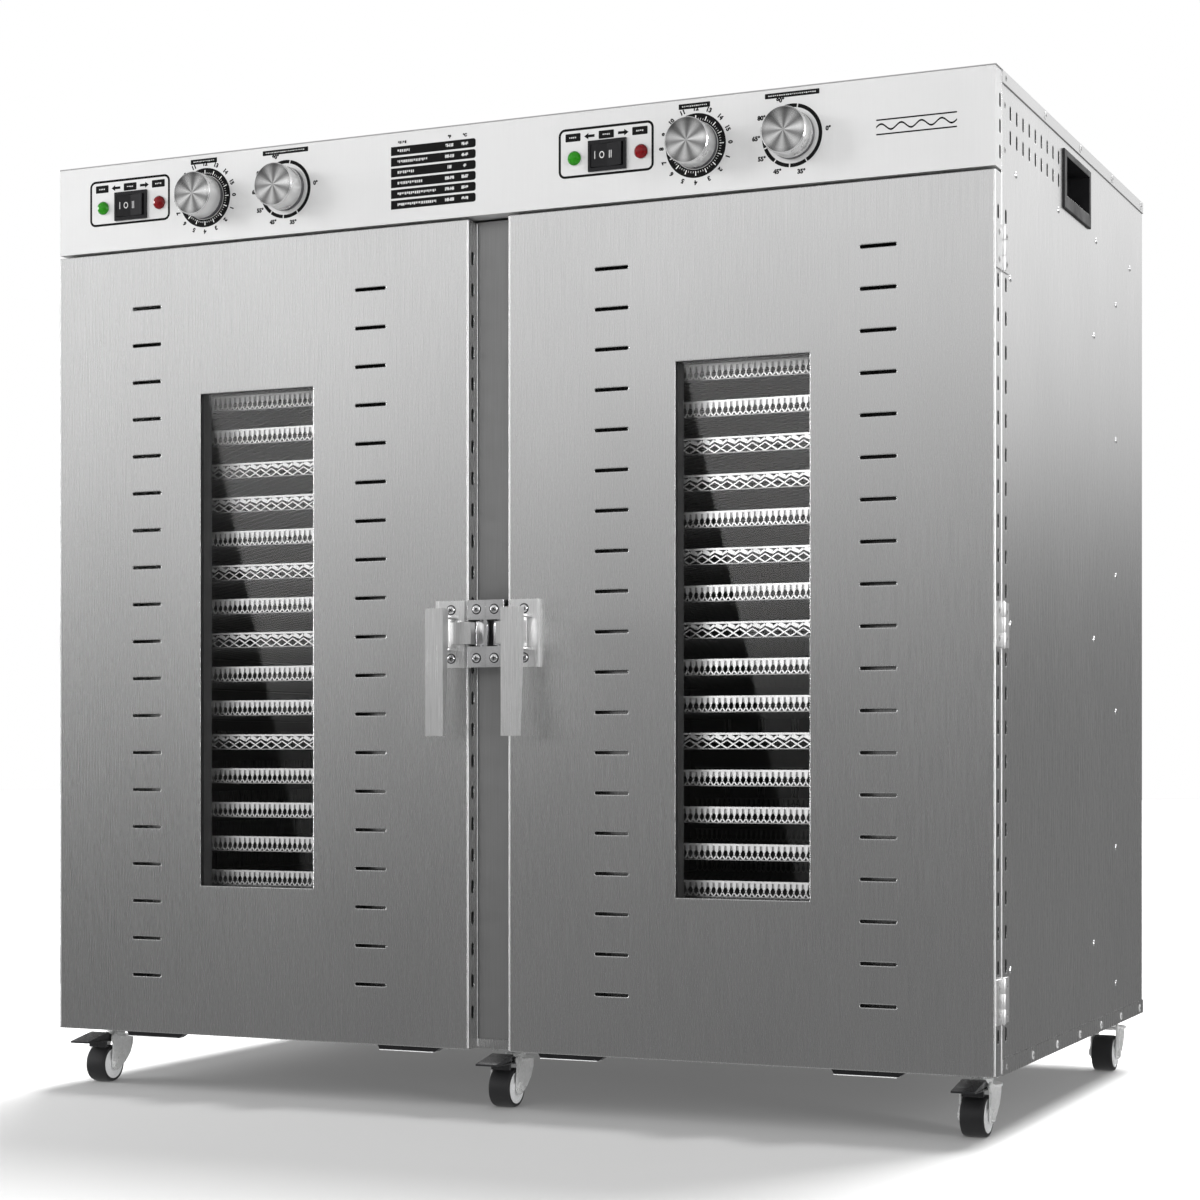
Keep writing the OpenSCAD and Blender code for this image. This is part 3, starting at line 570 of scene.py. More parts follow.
def add_text(shape, text, x, z, height, front, slot=0, turn=0.0, stretch=1.0):
    """Digits and plain signs as thin solid shapes, centred on x and z and turned by turn degrees."""
    half_thick = 0.03
    size_for_height = 1.38
    curve = bpy.data.curves.new("glyphs", "FONT")
    curve.body = text
    curve.size = height * size_for_height
    curve.align_x = "CENTER"
    curve.align_y = "CENTER"
    curve.resolution_u = 3
    curve.extrude = half_thick
    curve.offset = 0.3
    obj = add_object("glyphs", curve)
    mesh = bpy.data.meshes.new_from_object(obj)
    spin = Matrix.Rotation(math.radians(turn), 2)
    points = []
    for v in mesh.vertices:
        u, w = spin @ Vector((v.co.x * stretch, v.co.y))
        points.append((x + u, front + half_thick - v.co.z, z + w))
    shape.add(points, [list(p.vertices) for p in mesh.polygons], slot)
    bpy.data.objects.remove(obj)
    bpy.data.meshes.remove(mesh)
    bpy.data.curves.remove(curve)


# -------- printing on the fascia
INK = 0.06
GROUPS = {"right": 0.0, "left": -479.0}
CONTROL_Z = 760.0
ROCKER_X = 559.1
TIMER_X = 639.0
THERMOSTAT_X = 723.5


def add_patch(shape, x, z, width, height, r):
    """A black rectangle with rounded corners, centred on x and z."""
    outline = rounded(x - width / 2, z - height / 2, x + width / 2, z + height / 2, [r] * 4, 3)
    shape.prism(outline, -INK, 0.0)


def dial_text(shape, text, x, radius, angle, height, turn=0.0):
    """Text beside a dial, at an angle in degrees from +x towards +z."""
    a = math.radians(angle)
    u, w = radius * math.cos(a), radius * math.sin(a)
    add_text(shape, text, x + u, CONTROL_Z + w, height, -INK, turn=turn)


def print_timer(shape, x):
    """A black ring with white ticks, and the hours from 0 to 15 round it."""
    hours = 16
    step = 360 / hours
    ticks_from = 21.3
    shape.arc(x, CONTROL_Z, 20.0, 26.8, -INK, 0.0)
    for n in range(hours):
        angle = -n * step
        shape.arc(x, CONTROL_Z, ticks_from, 25.0, -2 * INK, -INK, angle - 0.9, 1.8, slot=1)
        for k in (0.25, 0.5, 0.75):
            shape.arc(x, CONTROL_Z, ticks_from, 22.9, -2 * INK, -INK, angle - k * step - 0.4, 0.8, slot=1)
        dial_text(shape, str(n), x, 30.6, angle, 3.7, turn=angle - 90)


def print_thermostat(shape, x):
    """A broken black ring with temperatures round it."""
    gaps = [79, -60, -95, -127, -160, 165, 120]
    half_gap = 1.2
    stops = sorted(g % 360 for g in gaps)
    for a, b in zip(stops, [*stops[1:], stops[0] + 360]):
        shape.arc(x, CONTROL_Z, 22.9, 26.0, -INK, 0.0, a + half_gap, b - a - 2 * half_gap)
    degrees = {5: "0", -75: "35", -114: "45", -147: "55", 180: "65", 148: "80", 109: "90"}
    for angle, number in degrees.items():
        dial_text(shape, number + "°", x, 31.2, angle, 3.6)


def print_switch_box(shape, x):
    """The outlined box round the rocker and its lamps, with three blank tags and two arrows."""
    low, high, line = (x - 45.4, 743.4), (x + 42.2, 785.4), 2.1
    outer = rounded(*low, *high, [6] * 4)
    inner = rounded(low[0] + line, low[1] + line, high[0] - line, high[1] - line, [6 - line] * 4)
    n = len(outer)
    points = [(u, y, w) for y in (-INK, 0.0) for ring in (outer, inner) for u, w in ring]
    faces = []
    for i in range(n):
        j = (i + 1) % n
        faces += [
            (i, j, n + j, n + i),
            (2 * n + i, 3 * n + i, 3 * n + j, 2 * n + j),
            (i, 2 * n + i, 2 * n + j, j),
            (n + i, n + j, 3 * n + j, 3 * n + i),
        ]
    shape.add(points, faces, 0)
    tag_z = 777.6
    for k in (-1, 0, 1):
        centre = x - 1.2 + 30.8 * k
        add_patch(shape, centre, tag_z, 14.0, 6.8, 0.7)
        add_dashes(shape, centre - 3.4, tag_z, 6.8, 1.2, seed=k + 5, slot=2)
    for s in (-1, 1):
        arrow = x - 1.2 + s * 15.6
        tip, tail, mid = arrow + s * 4.8, arrow - s * 4.8, arrow + s * 0.9
        head, shaft = 2.7, 1.15
        outline = [
            (tip, tag_z), (mid, tag_z + head), (mid, tag_z + shaft), (tail, tag_z + shaft),
            (tail, tag_z - shaft), (mid, tag_z - shaft), (mid, tag_z - head),
        ]
        shape.prism(outline, -INK, 0.0)


def add_dashes(shape, x, z, length, height, seed, slot):
    """A row of short blank strokes where a word would stand."""
    draw = random.Random(seed)
    end = x + length
    while x < end - 0.6:
        step = min(draw.uniform(0.7, 1.5), end - x)
        low = z - height / 2 + draw.choice((0.0, 0.0, 0.3)) * height
        shape.block((x, -2 * INK, low), (x + step, -INK, z + height / 2), slot)
        x += step + draw.uniform(0.5, 0.8)


def print_tag(shape, x, z, width, height):
    """A black tag with blank strokes across its middle."""
    margin = 3.0
    add_patch(shape, x, z, width, height, 0.5)
    add_dashes(shape, x - width / 2 + margin, z, width - 2 * margin, height * 0.2, seed=int(x), slot=2)


def print_table(shape):
    """Six black bars with blank strokes for the foods, and two columns of temperatures."""
    left, right, low, pitch, tall = 351.8, 434.8, 732.0, 9.4, 7.7
    column_at = (57.5, 72.5)
    rows = [
        (13, "95-115", "35-46"), (30, "105-115", "41-46"), (16, "115", "46"),
        (25, "125-135", "52-57"), (38, "135-145", "57-63"), (38, "145-155", "63-68"),
    ]
    for row, (length, *numbers) in enumerate(rows):
        z0 = low + (len(rows) - 1 - row) * pitch
        shape.prism(rounded(left, z0, right, z0 + tall, [0, 2.2, 2.2, 0]), -INK, 0.0)
        middle = z0 + tall / 2
        add_dashes(shape, left + 6.6, middle, length, 2.3, seed=row + 20, slot=2)
        for text, at in zip(numbers, column_at):
            add_text(shape, text, left + at, middle, 2.3, -2 * INK, slot=2, stretch=0.85)
    heading_z = low + len(rows) * pitch + 1.8
    add_dashes(shape, left + 7.0, heading_z, 9.0, 2.4, seed=3, slot=0)
    for text, at in zip(("°F", "°C"), column_at):
        add_text(shape, text, left + at, heading_z, 2.5, -INK)


def print_emblem(shape):
    """A plain wavy line between two bars, in place of any name."""
    x0, x1, z, thick = 795.0, 862.0, 759.0, 1.5
    steps, waves, swing = 60, 4, 2.4
    upper, lower = [], []
    for i in range(steps + 1):
        x = x0 + (x1 - x0) * i / steps
        lift = swing * math.sin(2 * math.pi * waves * i / steps)
        upper.append((x, z + lift + thick / 2))
        lower.append((x, z + lift - thick / 2))
    for i in range(steps):
        shape.prism([lower[i], lower[i + 1], upper[i + 1], upper[i]], -INK, 0.0)
    for bar_z in (z + 5.8, z - 5.8):
        add_patch(shape, (x0 + x1) / 2, bar_z, x1 - x0, 1.2, 0.5)


def make_printing():
    """All the marks on the fascia, as one piece."""
    shape = Shape()
    for shift in GROUPS.values():
        print_switch_box(shape, ROCKER_X + shift)
        print_timer(shape, TIMER_X + shift)
        print_thermostat(shape, THERMOSTAT_X + shift)
        print_tag(shape, TIMER_X - 1.2 + shift, 793.2, 28.0, 4.5)
        print_tag(shape, THERMOSTAT_X + shift, 793.8, 47.0, 4.3)
    print_table(shape)
    print_emblem(shape)
    shape.piece("fascia_printing", "cabinet", "black_plastic", [BLACK_INK, WHITE_INK, GREY_INK])


make_printing()


# -------- knobs, rockers
def make_knob(name, x):
    """A turned knob: spun face with painted highlights, bright chamfer, smooth wall, groove and dark skirt.
    """
    low, high = cab_box(name)
    front = low.y
    r = (high.x - low.x) / 2
    back = -0.5
    profile = [
        (0.0, front + 0.25), (r * 0.30, front + 0.2), (r - 1.1, front + 0.05), (r - 0.95, front),
        (r - 0.85, front), (r - 0.3, front + 0.55), (r - 0.25, front + 0.8), (r - 0.15, back - 4.2),
        (r - 0.6, back - 3.8), (r - 0.6, back - 3.2), (r, back - 2.8), (r, back), (0.0, back),
    ]
    slots = [0, 0, 1, 1, 1, 1, 2, 3, 3, 3, 3, 3, 3]
    shape = Shape()
    shape.lathe((x, 0.0, CONTROL_Z), profile, slots, steps=72)
    spindle = [(0.0, back), (3.0, back), (3.0, high.y), (0.0, high.y)]
    shape.lathe((x, 0.0, CONTROL_Z), spindle, [3] * 4, steps=24)
    finishes = [MATERIALS["spun_aluminium"], CHAMFER, KNOB_SIDE, KNOB_SKIRT]
    shape.piece(f"{name}_turned", name, "spun_aluminium", finishes, replaces=[name], smooth=28)


def make_rocker_marks(side, x):
    """Three strokes and an oval, printed on the rocker's dished front."""
    half_rocker, crest, dish = 13.6, -1.4, 2.2

    def surface(u):
        return crest - dish * abs(u - x) / half_rocker

    shape = Shape()
    front, back = -0.12, 0.1
    low, high, half_stroke = 757.0, 763.4, 0.3
    for at in (-10.4, 2.4, 4.2):
        a, b = x + at - half_stroke, x + at + half_stroke
        shape.prism([(a, low), (b, low), (b, high), (a, high)], front, back, 0, surface)
    oval_x, r_in, r_out, stretch, steps = x - 4.4, 1.5, 2.1, 1.4, 28
    for i in range(steps):
        a, b = (2 * math.pi * k / steps for k in (i, i + 1))
        wedge = [
            (oval_x + r * math.cos(t), (low + high) / 2 + stretch * r * math.sin(t))
            for r, t in ((r_in, a), (r_out, a), (r_out, b), (r_in, b))
        ]
        shape.prism(wedge, front, back, 0, surface)
    shape.piece(f"{side}_rocker_marks", f"{side}_rocker", "black_plastic", [GREY_INK])


for side, shift in GROUPS.items():
    make_knob(f"{side}_timer_knob", TIMER_X + shift)
    make_knob(f"{side}_thermostat_knob", THERMOSTAT_X + shift)
    make_rocker_marks(side, ROCKER_X + shift)


# -------- screws
# How far the heads stand out: on the front and back, on the sides, and on the hinges
SCREW_HEAD, FLAT_HEAD, HINGE_HEAD = 1.4, 0.7, 0.3
# Side screws in front of the first belong to the hinges. Other screws behind the second face back.
HINGE_SCREWS_Y, REAR_SCREWS_Y = 36.0, 400.0


def islands(node):
    """The lowest and highest corner of each separate solid in a CAD node, in the row frame."""
    copy = bmesh.new()
    copy.from_mesh(frame["nodes"][node].data)
    bmesh.ops.remove_doubles(copy, verts=copy.verts, dist=1e-6)
    seen, boxes = set(), []
    for start in copy.verts:
        if start in seen:
            continue
        seen.add(start)
        queue, found = [start], []
        while queue:
            vert = queue.pop()
            found.append(vert.co)
            for edge in vert.link_edges:
                other = edge.other_vert(vert)
                if other not in seen:
                    seen.add(other)
                    queue.append(other)
        boxes.append([Vector(f(c[k] for c in found) for k in range(3)) for f in (min, max)])
    copy.free()
    return boxes


def cross_outline(arm, half):
    """A plus sign's twelve corners, anticlockwise."""
    quarter = [(arm, -half), (arm, half), (half, half)]
    turns = [(1, 0, 0, 1), (0, -1, 1, 0), (-1, 0, 0, -1), (0, 1, -1, 0)]
    return [(a * u + b * v, c * u + d * v) for a, b, c, d in turns for u, v in quarter]


def screw_head(shape, centre, out, r, h, turn, slot):
    """A pan head with a crossed recess. out is the way the head faces; centre lies on its seat."""
    out = Vector(out)
    side = Vector((0.0, 0.0, 1.0)) if abs(out.z) < 0.5 else Vector((1.0, 0.0, 0.0))
    other = out.cross(side)

    def at(u, v, w):
        return tuple(Vector(centre) + side * u + other * v + out * w)

    steps = 24
    rings = [(r, 0.0), (r, 0.42 * h), (0.93 * r, 0.68 * h), (0.8 * r, 0.88 * h), (0.64 * r, h)]
    points = []
    for a, w in rings:
        for k in range(steps):
            t = 2 * math.pi * k / steps
            points.append(at(a * math.cos(t), a * math.sin(t), w))
    faces = []
    for row in range(len(rings) - 1):
        for k in range(steps):
            m = (k + 1) % steps
            faces.append((row * steps + k, row * steps + m, (row + 1) * steps + m, (row + 1) * steps + k))
    shape.add(points, faces, slot)
    c, s = math.cos(turn), math.sin(turn)
    cross = [(u * c - v * s, u * s + v * c) for u, v in cross_outline(0.52 * r, 0.13 * r)]
    rim = [at(u, v, h) for u, v in cross]
    floor = [at(0.8 * u, 0.8 * v, 0.25 * h) for u, v in cross]
    last = len(rings) - 1
    edge = [points[last * steps + k] for k in range(steps)]
    angles = [(math.atan2(v, u) % (2 * math.pi)) for u, v in cross]
    count = len(cross)
    first = min(range(count), key=lambda i: angles[i])
    order = [(first + i) % count for i in range(count)]
    ring_faces = []
    for n in range(count):
        i, j = order[n], order[(n + 1) % count]
        a, b = angles[i], angles[j] + (2 * math.pi if n == count - 1 else 0)
        ka, kb = round(a / (2 * math.pi) * steps), round(b / (2 * math.pi) * steps)
        for k in range(ka, kb):
            ring_faces.append((count + k % steps, count + (k + 1) % steps, i))
        ring_faces.append((count + kb % steps, j, i))
    shape.add(rim + edge, ring_faces, slot)
    walls = [(i, (i + 1) % count, count + (i + 1) % count, count + i) for i in range(count)]
    # The recess's walls and floor take slot 1, near black as painted shade.
    shape.add(rim + floor, walls, 1)
    shape.add(floor, [tuple(range(count))], 1)


def make_screws(node, body):
    """Crossed heads in place of a CAD node's plain ones, one for each solid."""
    shank = 3.0
    shape = Shape()
    draw = random.Random(11)
    for corners in islands(node):
        low, high = (in_cab(corner) for corner in corners)
        size = high - low
        axis = min(range(3), key=lambda k: size[k])
        across = [k for k in range(3) if k != axis]
        r = size[across[0]] / 2
        centre = (low + high) / 2
        if axis == 0:
            outward = -1 if centre.x < CAB_W / 2 else 1
        else:
            outward = 1 if centre.y > REAR_SCREWS_Y else -1
        tip = high[axis] if outward > 0 else low[axis]
        seat = list(centre)
        seat[axis] = tip - outward * SCREW_HEAD
        out = [0.0, 0.0, 0.0]
        out[axis] = float(outward)
        rise, finish = (SCREW_HEAD, 0) if axis else (FLAT_HEAD, 2)
        if axis == 0 and centre.y < HINGE_SCREWS_Y:
            rise, r, finish = HINGE_HEAD, 0.7 * r, 3
        screw_head(shape, seat, out, r, rise, draw.uniform(0, math.pi / 2), finish)
        # A thin near-black ring round each head that faces the front: a painted shadow.
        if axis == 1 and outward < 0:
            shadow = [(r - 0.2, -0.15), (r + 0.9, -0.15), (r + 0.9, 0.0), (r - 0.2, 0.0)]
            shape.lathe(seat, shadow, [1] * 4, steps=32)
        shape.bar(seat, [seat[k] - out[k] * shank for k in range(3)], shank, shank, up=(0.0, 0.0, 1.0))
    finishes = [MATERIALS["polished_steel"], PAINTED_SHADE, PLATED, DULL_HEAD]
    shape.piece(f"{node}_crossed", body, "polished_steel", finishes, replaces=[node], smooth=32)


make_screws("cabinet_screws", "cabinet")
for side in ("left", "right"):
    make_screws(f"{side}_door_screws", f"{side}_door")


# -------- folded edges
def add_hem(shape, x, y, low, high, r):
    """The rounded fold along an upright edge of sheet, which shows as a bright line."""
    shape.lathe((x, y, low), [(0.0, 0.0), (r, 0.0), (r, high - low), (0.0, high - low)], steps=16, axis="z")


def make_hems():
    """Beads on the four upright edges of each door, and on the side panels' front edges beside them."""
    inset = 0.6
    for side in ("left", "right"):
        low, high = cab_box(f"{side}_door")
        shape = Shape()
        for x in (low.x + inset, high.x - inset):
            for y in (low.y + inset, high.y - inset):
                add_hem(shape, x, y, low.z + 1, high.z - 1, 0.9)
        shape.piece(f"{side}_door_hems", f"{side}_door", "polished_steel", [HEM], smooth=40)
    low, high = cab_box("left_side_panel")
    shape = Shape()
    for x in (low.x + inset, CAB_W - low.x - inset):
        add_hem(shape, x, low.y + inset, low.z + 1, cab_box("left_door")[1].z, 0.85)
    shape.piece("side_panel_hems", "cabinet", "polished_steel", [HEM], smooth=40)


make_hems()


# -------- trays
TRAY_COUNT = 20
RIM = 14.0


def rim_strands(shape, x0, x1, y, z):
    """A rim of fine strands that taper and part into legs, as expanded mesh does where it's folded up."""
    pitch = 5.3
    top, waist, neck, fork = z + RIM - 1.0, z + 8.0, z + 6.2, z + 3.9
    for i in range(int((x1 - x0) / pitch)):
        x = x0 + (i + 0.5) * pitch
        strand = [
            (x - 1.8, top), (x - 1.4, waist), (x - 0.7, neck),
            (x + 0.5, neck), (x + 1.4, waist), (x + 1.7, top),
        ]
        shape.prism(strand, y - 0.4, y + 0.4)
        shape.bar((x - 0.1, y, neck + 0.3), (x - 0.3, y, fork), 1.15, 0.8)
        shape.bar((x - 0.3, y, fork + 0.4), (x - pitch / 2, y, z + 0.8), 1.05, 0.8)
        shape.bar((x - 0.3, y, fork + 0.4), (x + pitch / 2 - 0.3, y, z + 0.8), 1.2, 0.8)
    # The band behind the strands takes slot 2, the darker tray steel, as painted shade.
    shape.block((x0, y + 0.45, z + RIM - 5.6), (x1, y + 0.75, z + RIM - 1.0), slot=2)


def rim_diamonds(shape, x0, x1, y, z):
    """A rim of coarser crossing strands, from mesh that was folded across its long diamonds."""
    pitch = 11.3
    for i in range(int((x1 - x0) / pitch)):
        x = x0 + (i + 0.5) * pitch
        shape.bar((x - 4.6, y, z + RIM - 2.3), (x + 1.0, y, z + RIM - 4.8), 3.3, 0.8)
        shape.bar((x + 0.8, y, z + RIM - 6.0), (x + 5.8, y, z + RIM - 2.6), 1.9, 0.8)
        shape.bar((x - 5.7, y, z + 0.9), (x + 5.6, y, z + RIM - 6.2), 0.95, 0.8)
        shape.bar((x - 5.7, y + 0.3, z + RIM - 6.0), (x + 5.6, y + 0.3, z + 0.9), 1.2, 0.8)


def zigzag_floor(shape, x0, x1, y0, y1, z, slot):
    """Rows of bent strands that meet at their crests, as in expanded metal."""
    step, row, half, thick = 8.4, 7.9, 0.85, 1.1
    columns = int((x1 - x0) / step)
    rows = int((y1 - y0) / row)
    for j in range(rows):
        y_mid = y0 + (j + 0.5) * (y1 - y0) / rows
        points, faces = [], []
        for i in range(columns + 1):
            x = x0 + (x1 - x0) * i / columns
            y = y_mid + (row / 2 if (i + j) % 2 else -row / 2)
            points += [(x, y - half, z), (x, y + half, z), (x, y, z + thick)]
        for i in range(columns):
            a, b = 3 * i, 3 * i + 3
            faces += [(a, a + 1, b + 1, b), (a + 1, a + 2, b + 2, b + 1), (a + 2, a, b, b + 2)]
        end = 3 * columns
        faces += [(2, 1, 0), (end, end + 1, end + 2)]
        shape.add(points, faces, slot)


def tray_shape(low, high, coarse):
    """One wire mesh tray: floor, front and rear rims, side flanges and the hem round the top."""
    shape = Shape()
    x0, y0, x1, y1 = low.x + 0.6, low.y + 0.5, high.x - 0.6, high.y - 0.5
    z = low.z
    zigzag_floor(shape, x0, x1, y0 + 1, y1 - 1, z + 0.1, slot=1)
    rim = rim_diamonds if coarse else rim_strands
    for y in (y0 + 0.9, y1 - 0.9):
        rim(shape, x0, x1, y, z)
        shape.block((x0, y - 0.8, z + RIM - 1.7), (x1, y + 0.8, z + RIM))
        shape.block((x0, y - 0.5, z + 0.2), (x1, y + 0.5, z + 1.0), slot=2)
    for x in (x0 + 0.5, x1 - 0.5):
        shape.block((x - 0.5, y0, z + 0.1), (x + 0.5, y1, z + 2.6))
    return shape


def make_trays():
    """The forty trays. Those of one kind in one zone share a mesh."""
    coarse_rows = {15, 14, 12, 10, 7}
    for side in ("left", "right"):
        low, high = cab_box(f"{side}_trays")
        pitch = (high.z - low.z - RIM) / (TRAY_COUNT - 1)
        masters = {}
        for i in range(TRAY_COUNT):
            coarse = i in coarse_rows
            name = f"{side}_tray_{i + 1:02d}"
            if coarse not in masters:
                shape = tray_shape(low, high, coarse)
                finishes = [MATERIALS["tray_mesh"], SHADED_TRAY_FLOOR, SHADED_TRAY_BAND]
                tray = shape.piece(name, "cabinet", "tray_mesh", finishes)
                masters[coarse] = tray
            else:
                tray = add_object(name, masters[coarse].data)
                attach(tray, "cabinet")
            tray.location.z = i * pitch * MM
            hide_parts(f"{side}_trays")


make_trays()


# -------- casters and base strips
def make_wheel(name):
    """A rubber tyre round a grey plastic centre with a raised boss."""
    low, high = cab_box(name)
    centre = (low + high) / 2
    r, half = (high.z - low.z) / 2, (high.x - low.x) / 2
    rim = 13.9
    tyre_half = [
        (rim, half - 0.7), (r - 1.5, half - 0.5), (r - 0.6, half - 0.9),
        (r - 0.15, half - 1.9), (r, half - 3.2),
    ]
    hub_half = [
        (3.1, half), (5.6, half), (6.2, half - 1.2),
        (11.6, half - 1.5), (12.4, half - 0.5), (rim, half - 0.5),
    ]
    tyre, hub = ([*side, *((u, -v) for u, v in reversed(side))] for side in (tyre_half, hub_half))
    shape = Shape()
    shape.lathe(centre, tyre, [0] * len(tyre), steps=64, axis="x")
    shape.lathe(centre, hub, [1] * len(hub), steps=64, axis="x")
    finishes = [MATERIALS["tyre_rubber"], HUB_GREY]
    shape.piece(f"{name}_tyred", name, "tyre_rubber", finishes, replaces=[name], smooth=40)


for wheel in [n for n in frame["nodes"] if n.endswith("_wheel")]:
    make_wheel(wheel)


def make_base_strips(side):
    """Two low black skid strips under a door, each with its right end cut back."""
    shape = Shape()
    starts = {"left": (75.0, 338.0), "right": (494.0, 757.0)}[side]
    top, bottom = 0.4, -3.4
    for x in starts:
        outline = [(x, top), (x + 2.0, bottom), (x + 56.0, bottom), (x + 62.0, top)]
        shape.prism(outline, 0.8, 10.0)
        shape.block((x + 1.8, 0.6, -4.0), (x + 55.0, 10.2, -3.3), 1)
    door = f"{side}_door"
    shape.piece(f"{door}_strips", door, "black_plastic", [MATERIALS["black_plastic"], HUB_GREY])


for side in ("left", "right"):
    make_base_strips(side)


# -------- stage, light and camera
# The studio's light by direction: from straight down at -1 to straight up at 1
BELOW = [(-1, 0.5), (-0.55, 0.42)]
ABOVE = [(0.6, 0.5), (1, 0.42)]
LEFT_SKY = [
    *BELOW, (-0.2, 0.14), (-0.07, 0.17), (0.0, 0.23), (0.05, 0.47),
    (0.11, 0.88), (0.2, 1.15), (0.36, 0.95), *ABOVE,
]
MIDDLE_SKY = [
    *BELOW, (-0.2, 0.13), (-0.07, 0.145), (0.02, 0.10), (0.08, 0.125),
    (0.14, 0.33), (0.24, 0.97), (0.36, 0.88), *ABOVE,
]
RIGHT_SKY = [
    *BELOW, (-0.2, 0.14), (-0.07, 0.165), (0.03, 0.14), (0.08, 0.235),
    (0.13, 0.68), (0.22, 1.13), (0.36, 0.95), *ABOVE,
]


def make_floor():
    """A plain pale floor, which reflections leave out."""
    mesh = bpy.data.meshes.new("floor")
    reach = 14.0
    corners = [(-reach, -reach, 0), (reach, -reach, 0), (reach, reach, 0), (-reach, reach, 0)]
    mesh.from_pydata(corners, [], [(0, 1, 2, 3)])
    floor = add_object("floor", mesh)
    material, tree, bsdf = new_material("pale_floor")
    mottle = noise(tree, (2.0, 2.0, 2.0))
    shade = tint(tree, (0.5, 0.5, 0.5), spread(tree, mottle, 0.99, 1.01))
    link(tree, shade, bsdf.inputs["Base Color"])
    link(tree, shade, bsdf.inputs["Emission Color"])
    fill(bsdf, {"Emission Strength": 0.06, "Roughness": 0.7, "Specular IOR Level": 0.1})
    mesh.materials.append(material)
    floor.visible_glossy = False
    return floor


def sky(tree, height, stops):
    """Grey light as a function of height, with stops of (height, light)."""
    ramp = tree.nodes.new("ShaderNodeValToRGB")
    ramp.color_ramp.interpolation = "B_SPLINE"
    while len(ramp.color_ramp.elements) < len(stops):
        ramp.color_ramp.elements.new(0.5)
    for element, (z, light) in zip(ramp.color_ramp.elements, stops):
        element.position = (z + 1) / 2
        element.color = (light, light, light, 1)
    link(tree, height, ramp.inputs["Fac"])
    return ramp.outputs["Color"]


def blend(tree, across, start, stop, a, b):
    """Light that turns from a to b as across goes from start to stop."""
    node = tree.nodes.new("ShaderNodeMix")
    node.data_type = "RGBA"
    link(tree, spread(tree, across, 0.0, 1.0, start, stop), node.inputs["Factor"])
    link(tree, a, node.inputs["A"])
    link(tree, b, node.inputs["B"])
    return node.outputs["Result"]


def make_world():
    """A studio whose upper walls are bright and fade towards the floor. The camera sees plain white."""
    world = bpy.data.worlds.new("studio")
    bpy.context.scene.world = world
    world.use_nodes = True
    tree = world.node_tree
    coords = tree.nodes.new("ShaderNodeTexCoord")
    split = tree.nodes.new("ShaderNodeSeparateXYZ")
    link(tree, coords.outputs["Generated"], split.inputs["Vector"])
    height = spread(tree, split.outputs["Z"], 0.0, 1.0, -1.0, 1.0)
    left, middle, right = (sky(tree, height, stops) for stops in (LEFT_SKY, MIDDLE_SKY, RIGHT_SKY))
    near = blend(tree, split.outputs["X"], -0.62, -0.24, left, middle)
    whole = blend(tree, split.outputs["X"], -0.1, 0.15, near, right)
    studio = tree.nodes["Background"]
    link(tree, whole, studio.inputs["Color"])
    backdrop = tree.nodes.new("ShaderNodeBackground")
    path = tree.nodes.new("ShaderNodeLightPath")
    mix = tree.nodes.new("ShaderNodeMixShader")
    link(tree, path.outputs["Is Camera Ray"], mix.inputs["Fac"])
    link(tree, studio.outputs["Background"], mix.inputs[1])
    link(tree, backdrop.outputs["Background"], mix.inputs[2])
    backdrop.inputs["Color"].default_value = (1.0, 1.0, 1.0, 1.0)
    link(tree, mix.outputs["Shader"], tree.nodes["World Output"].inputs["Surface"])


def area_light(name, place, target, size, power):
    """A rectangular softbox at place that faces target."""
    data = bpy.data.lights.new(name, "AREA")
    data.shape = "RECTANGLE"
    data.size, data.size_y = size
    data.energy = power
    light = add_object(name, data)
    light.location = place
    light.rotation_euler = (Vector(target) - Vector(place)).to_track_quat("-Z", "Y").to_euler()
    return light


def sun_light(name, toward, strength, softness):
    """A distant light that lies in the direction toward. softness is its width in degrees."""
    data = bpy.data.lights.new(name, "SUN")
    data.energy = strength
    data.angle = math.radians(softness)
    sun = add_object(name, data)
    sun.rotation_euler = Vector(toward).to_track_quat("Z", "Y").to_euler()
    return sun


def light_only(light, receivers):
    """Makes a light fall on these pieces alone."""
    group = bpy.data.collections.new(light.name + "_receivers")
    for receiver in receivers:
        group.objects.link(receiver)
    light.light_linking.receiver_collection = group


def light_skip(light, skipped):
    """Keeps a light off these pieces."""
    light_only(light, skipped)
    for entry in light.light_linking.receiver_collection.collection_objects:
        entry.light_linking.link_state = "EXCLUDE"


# Where each window's slanting reflection ends above, as x and z, and how far it runs across and down
WEDGE_CORNERS = {"left": (161.5, 582.0), "right": (627.0, 582.0)}
WEDGE_RUN = (103.0, 446.0)


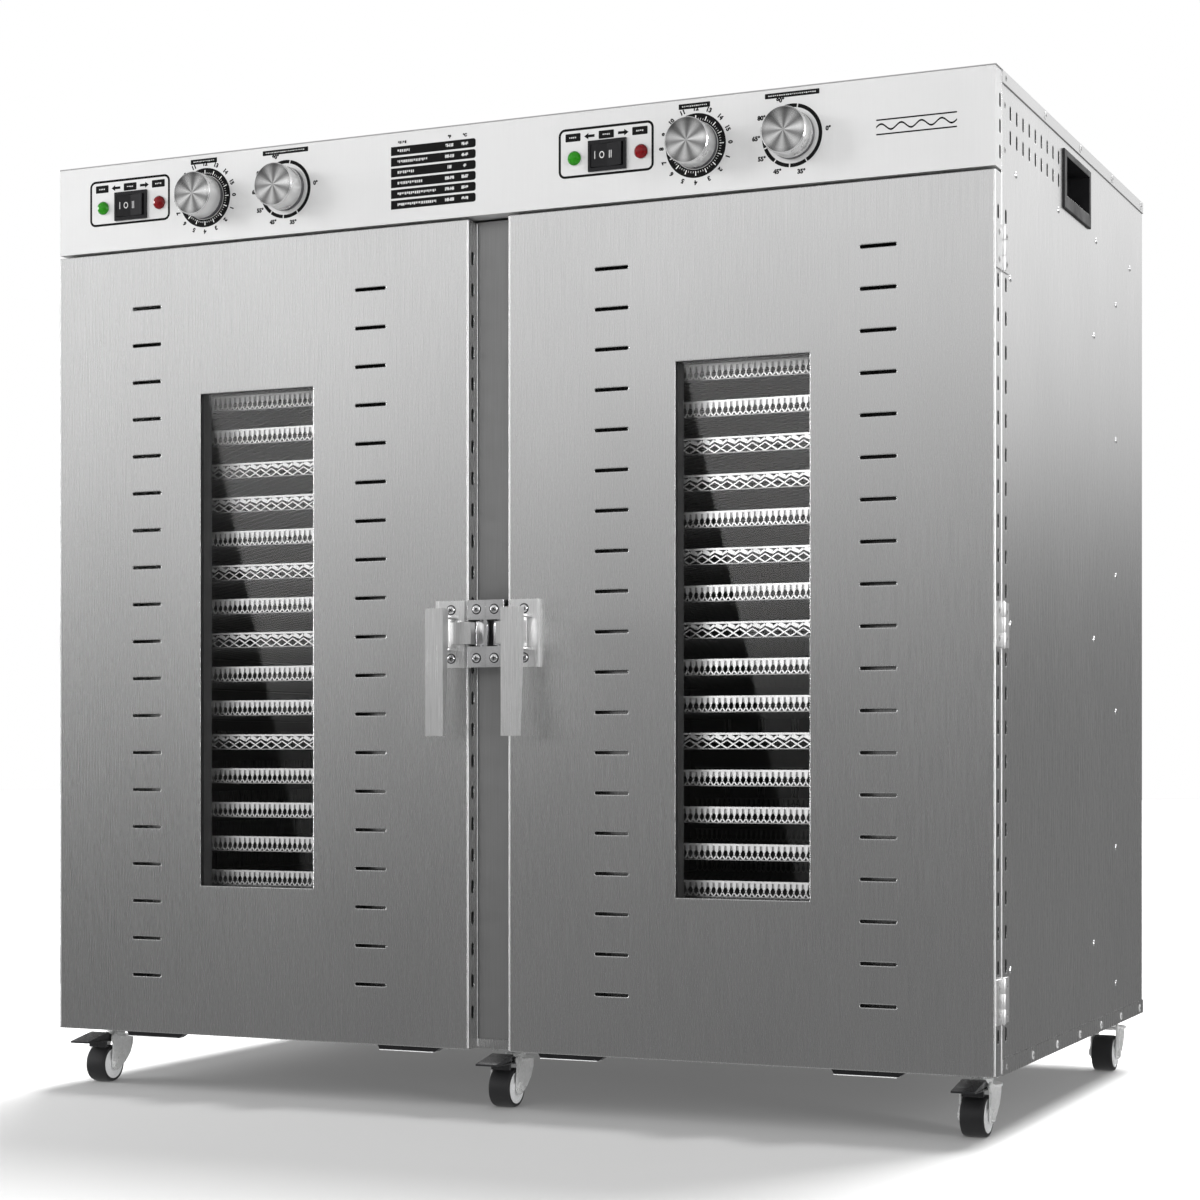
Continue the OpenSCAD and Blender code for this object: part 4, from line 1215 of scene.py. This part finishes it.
def reflect_card(side, corner):
    """A softbox whose reflection fills a pane to the right of a slanting line, as the camera sees it."""
    width, height, ahead = 170.0, 560.0, 1500.0
    pane_y = cab_box(f"{side}_window")[0].y
    eye = in_cab(bpy.context.scene.camera.location)
    reach = ahead / (pane_y - eye.y)
    across, down = WEDGE_RUN
    run = Vector((-across, 0.0, down)).normalized()
    right = Vector((run.z, 0.0, -run.x))
    on_pane = Vector((corner[0] + across / 2, pane_y, corner[1] - down / 2)) + right * width / 2
    x = on_pane.x + (on_pane.x - eye.x) * reach
    z = on_pane.z + (on_pane.z - eye.z) * reach
    grow = (1 + reach) * MM
    size = (width * grow, height * grow)
    light = area_light(f"{side}_card", cab(x, pane_y - ahead, z), cab(x, 0, z), size, 9.0)
    light.rotation_euler = Matrix((right, run, (0.0, -1.0, 0.0))).transposed().to_euler()
    light.data.use_nodes = True
    tree = light.data.node_tree
    glow = tree.nodes["Emission"]
    place = tree.nodes.new("ShaderNodeNewGeometry")
    split = tree.nodes.new("ShaderNodeSeparateXYZ")
    link(tree, place.outputs["Parametric"], split.inputs["Vector"])
    link(tree, spread(tree, split.outputs["Y"], 0.10, 0.56, 0.34, 0.54), glow.inputs["Strength"])
    light_only(light, [frame["nodes"][f"{side}_window"]])


def make_camera():
    """A level camera, low and well to the right, with its lens shifted up."""
    data = bpy.data.cameras.new("camera")
    data.lens = 75.15
    data.sensor_width = 36.0
    data.shift_y = 0.127
    data.clip_end = 60.0
    camera = add_object("camera", data)
    camera.location = cab(1412.0, -1928.6, 257.0)
    camera.rotation_euler = (math.radians(90.0), 0.0, math.radians(24.03))
    bpy.context.scene.camera = camera


floor = make_floor()
make_world()
make_camera()
trays = [o for o in bpy.data.objects if "_tray_" in o.name]
right_casters = [o for o in bpy.data.objects if o.name.startswith(("front_right", "rear_right"))]
light_only(sun_light("floor_sun", (0.0, 1.0, 1.3), 9.3, 38.0), [floor])
light_only(area_light("floor_fill", (-1.3, -0.6, 0.6), (-0.3, -0.4, 0.0), (0.5, 0.5), 5.0), [floor])
light_only(sun_light("overhead_sun", (0.0, 0.067, 1.0), 1.3, 3.0), [floor])
light_skip(sun_light("back_sun", (0.02, 1.0, 0.92), 2.7, 40.0), [floor, frame["nodes"]["top_cover"]])
left_key = area_light("left_key", (-3.4, -2.3, 1.9), (0.1, 0.0, 0.5), (0.8, 1.4), 130.0)
left_key.visible_glossy = False
light_skip(left_key, [*trays, floor])
left_strip = area_light("left_strip", (-4.6, -0.9, 1.0), (-0.2, -0.2, 0.5), (0.5, 2.6), 60.0)
light_skip(left_strip, trays)
right_strip = area_light("right_strip", (4.2, -2.2, 1.0), (0.3, -0.2, 0.5), (0.7, 2.4), 90.0)
light_skip(right_strip, [*trays, *right_casters])
light_only(area_light("tray_light", (-0.85, -3.1, 0.9), (0.0, 0.0, 0.45), (1.7, 1.4), 62.0), trays)
for side, corner in WEDGE_CORNERS.items():
    reflect_card(side, corner)
bpy.context.scene.view_settings.view_transform = "Standard"
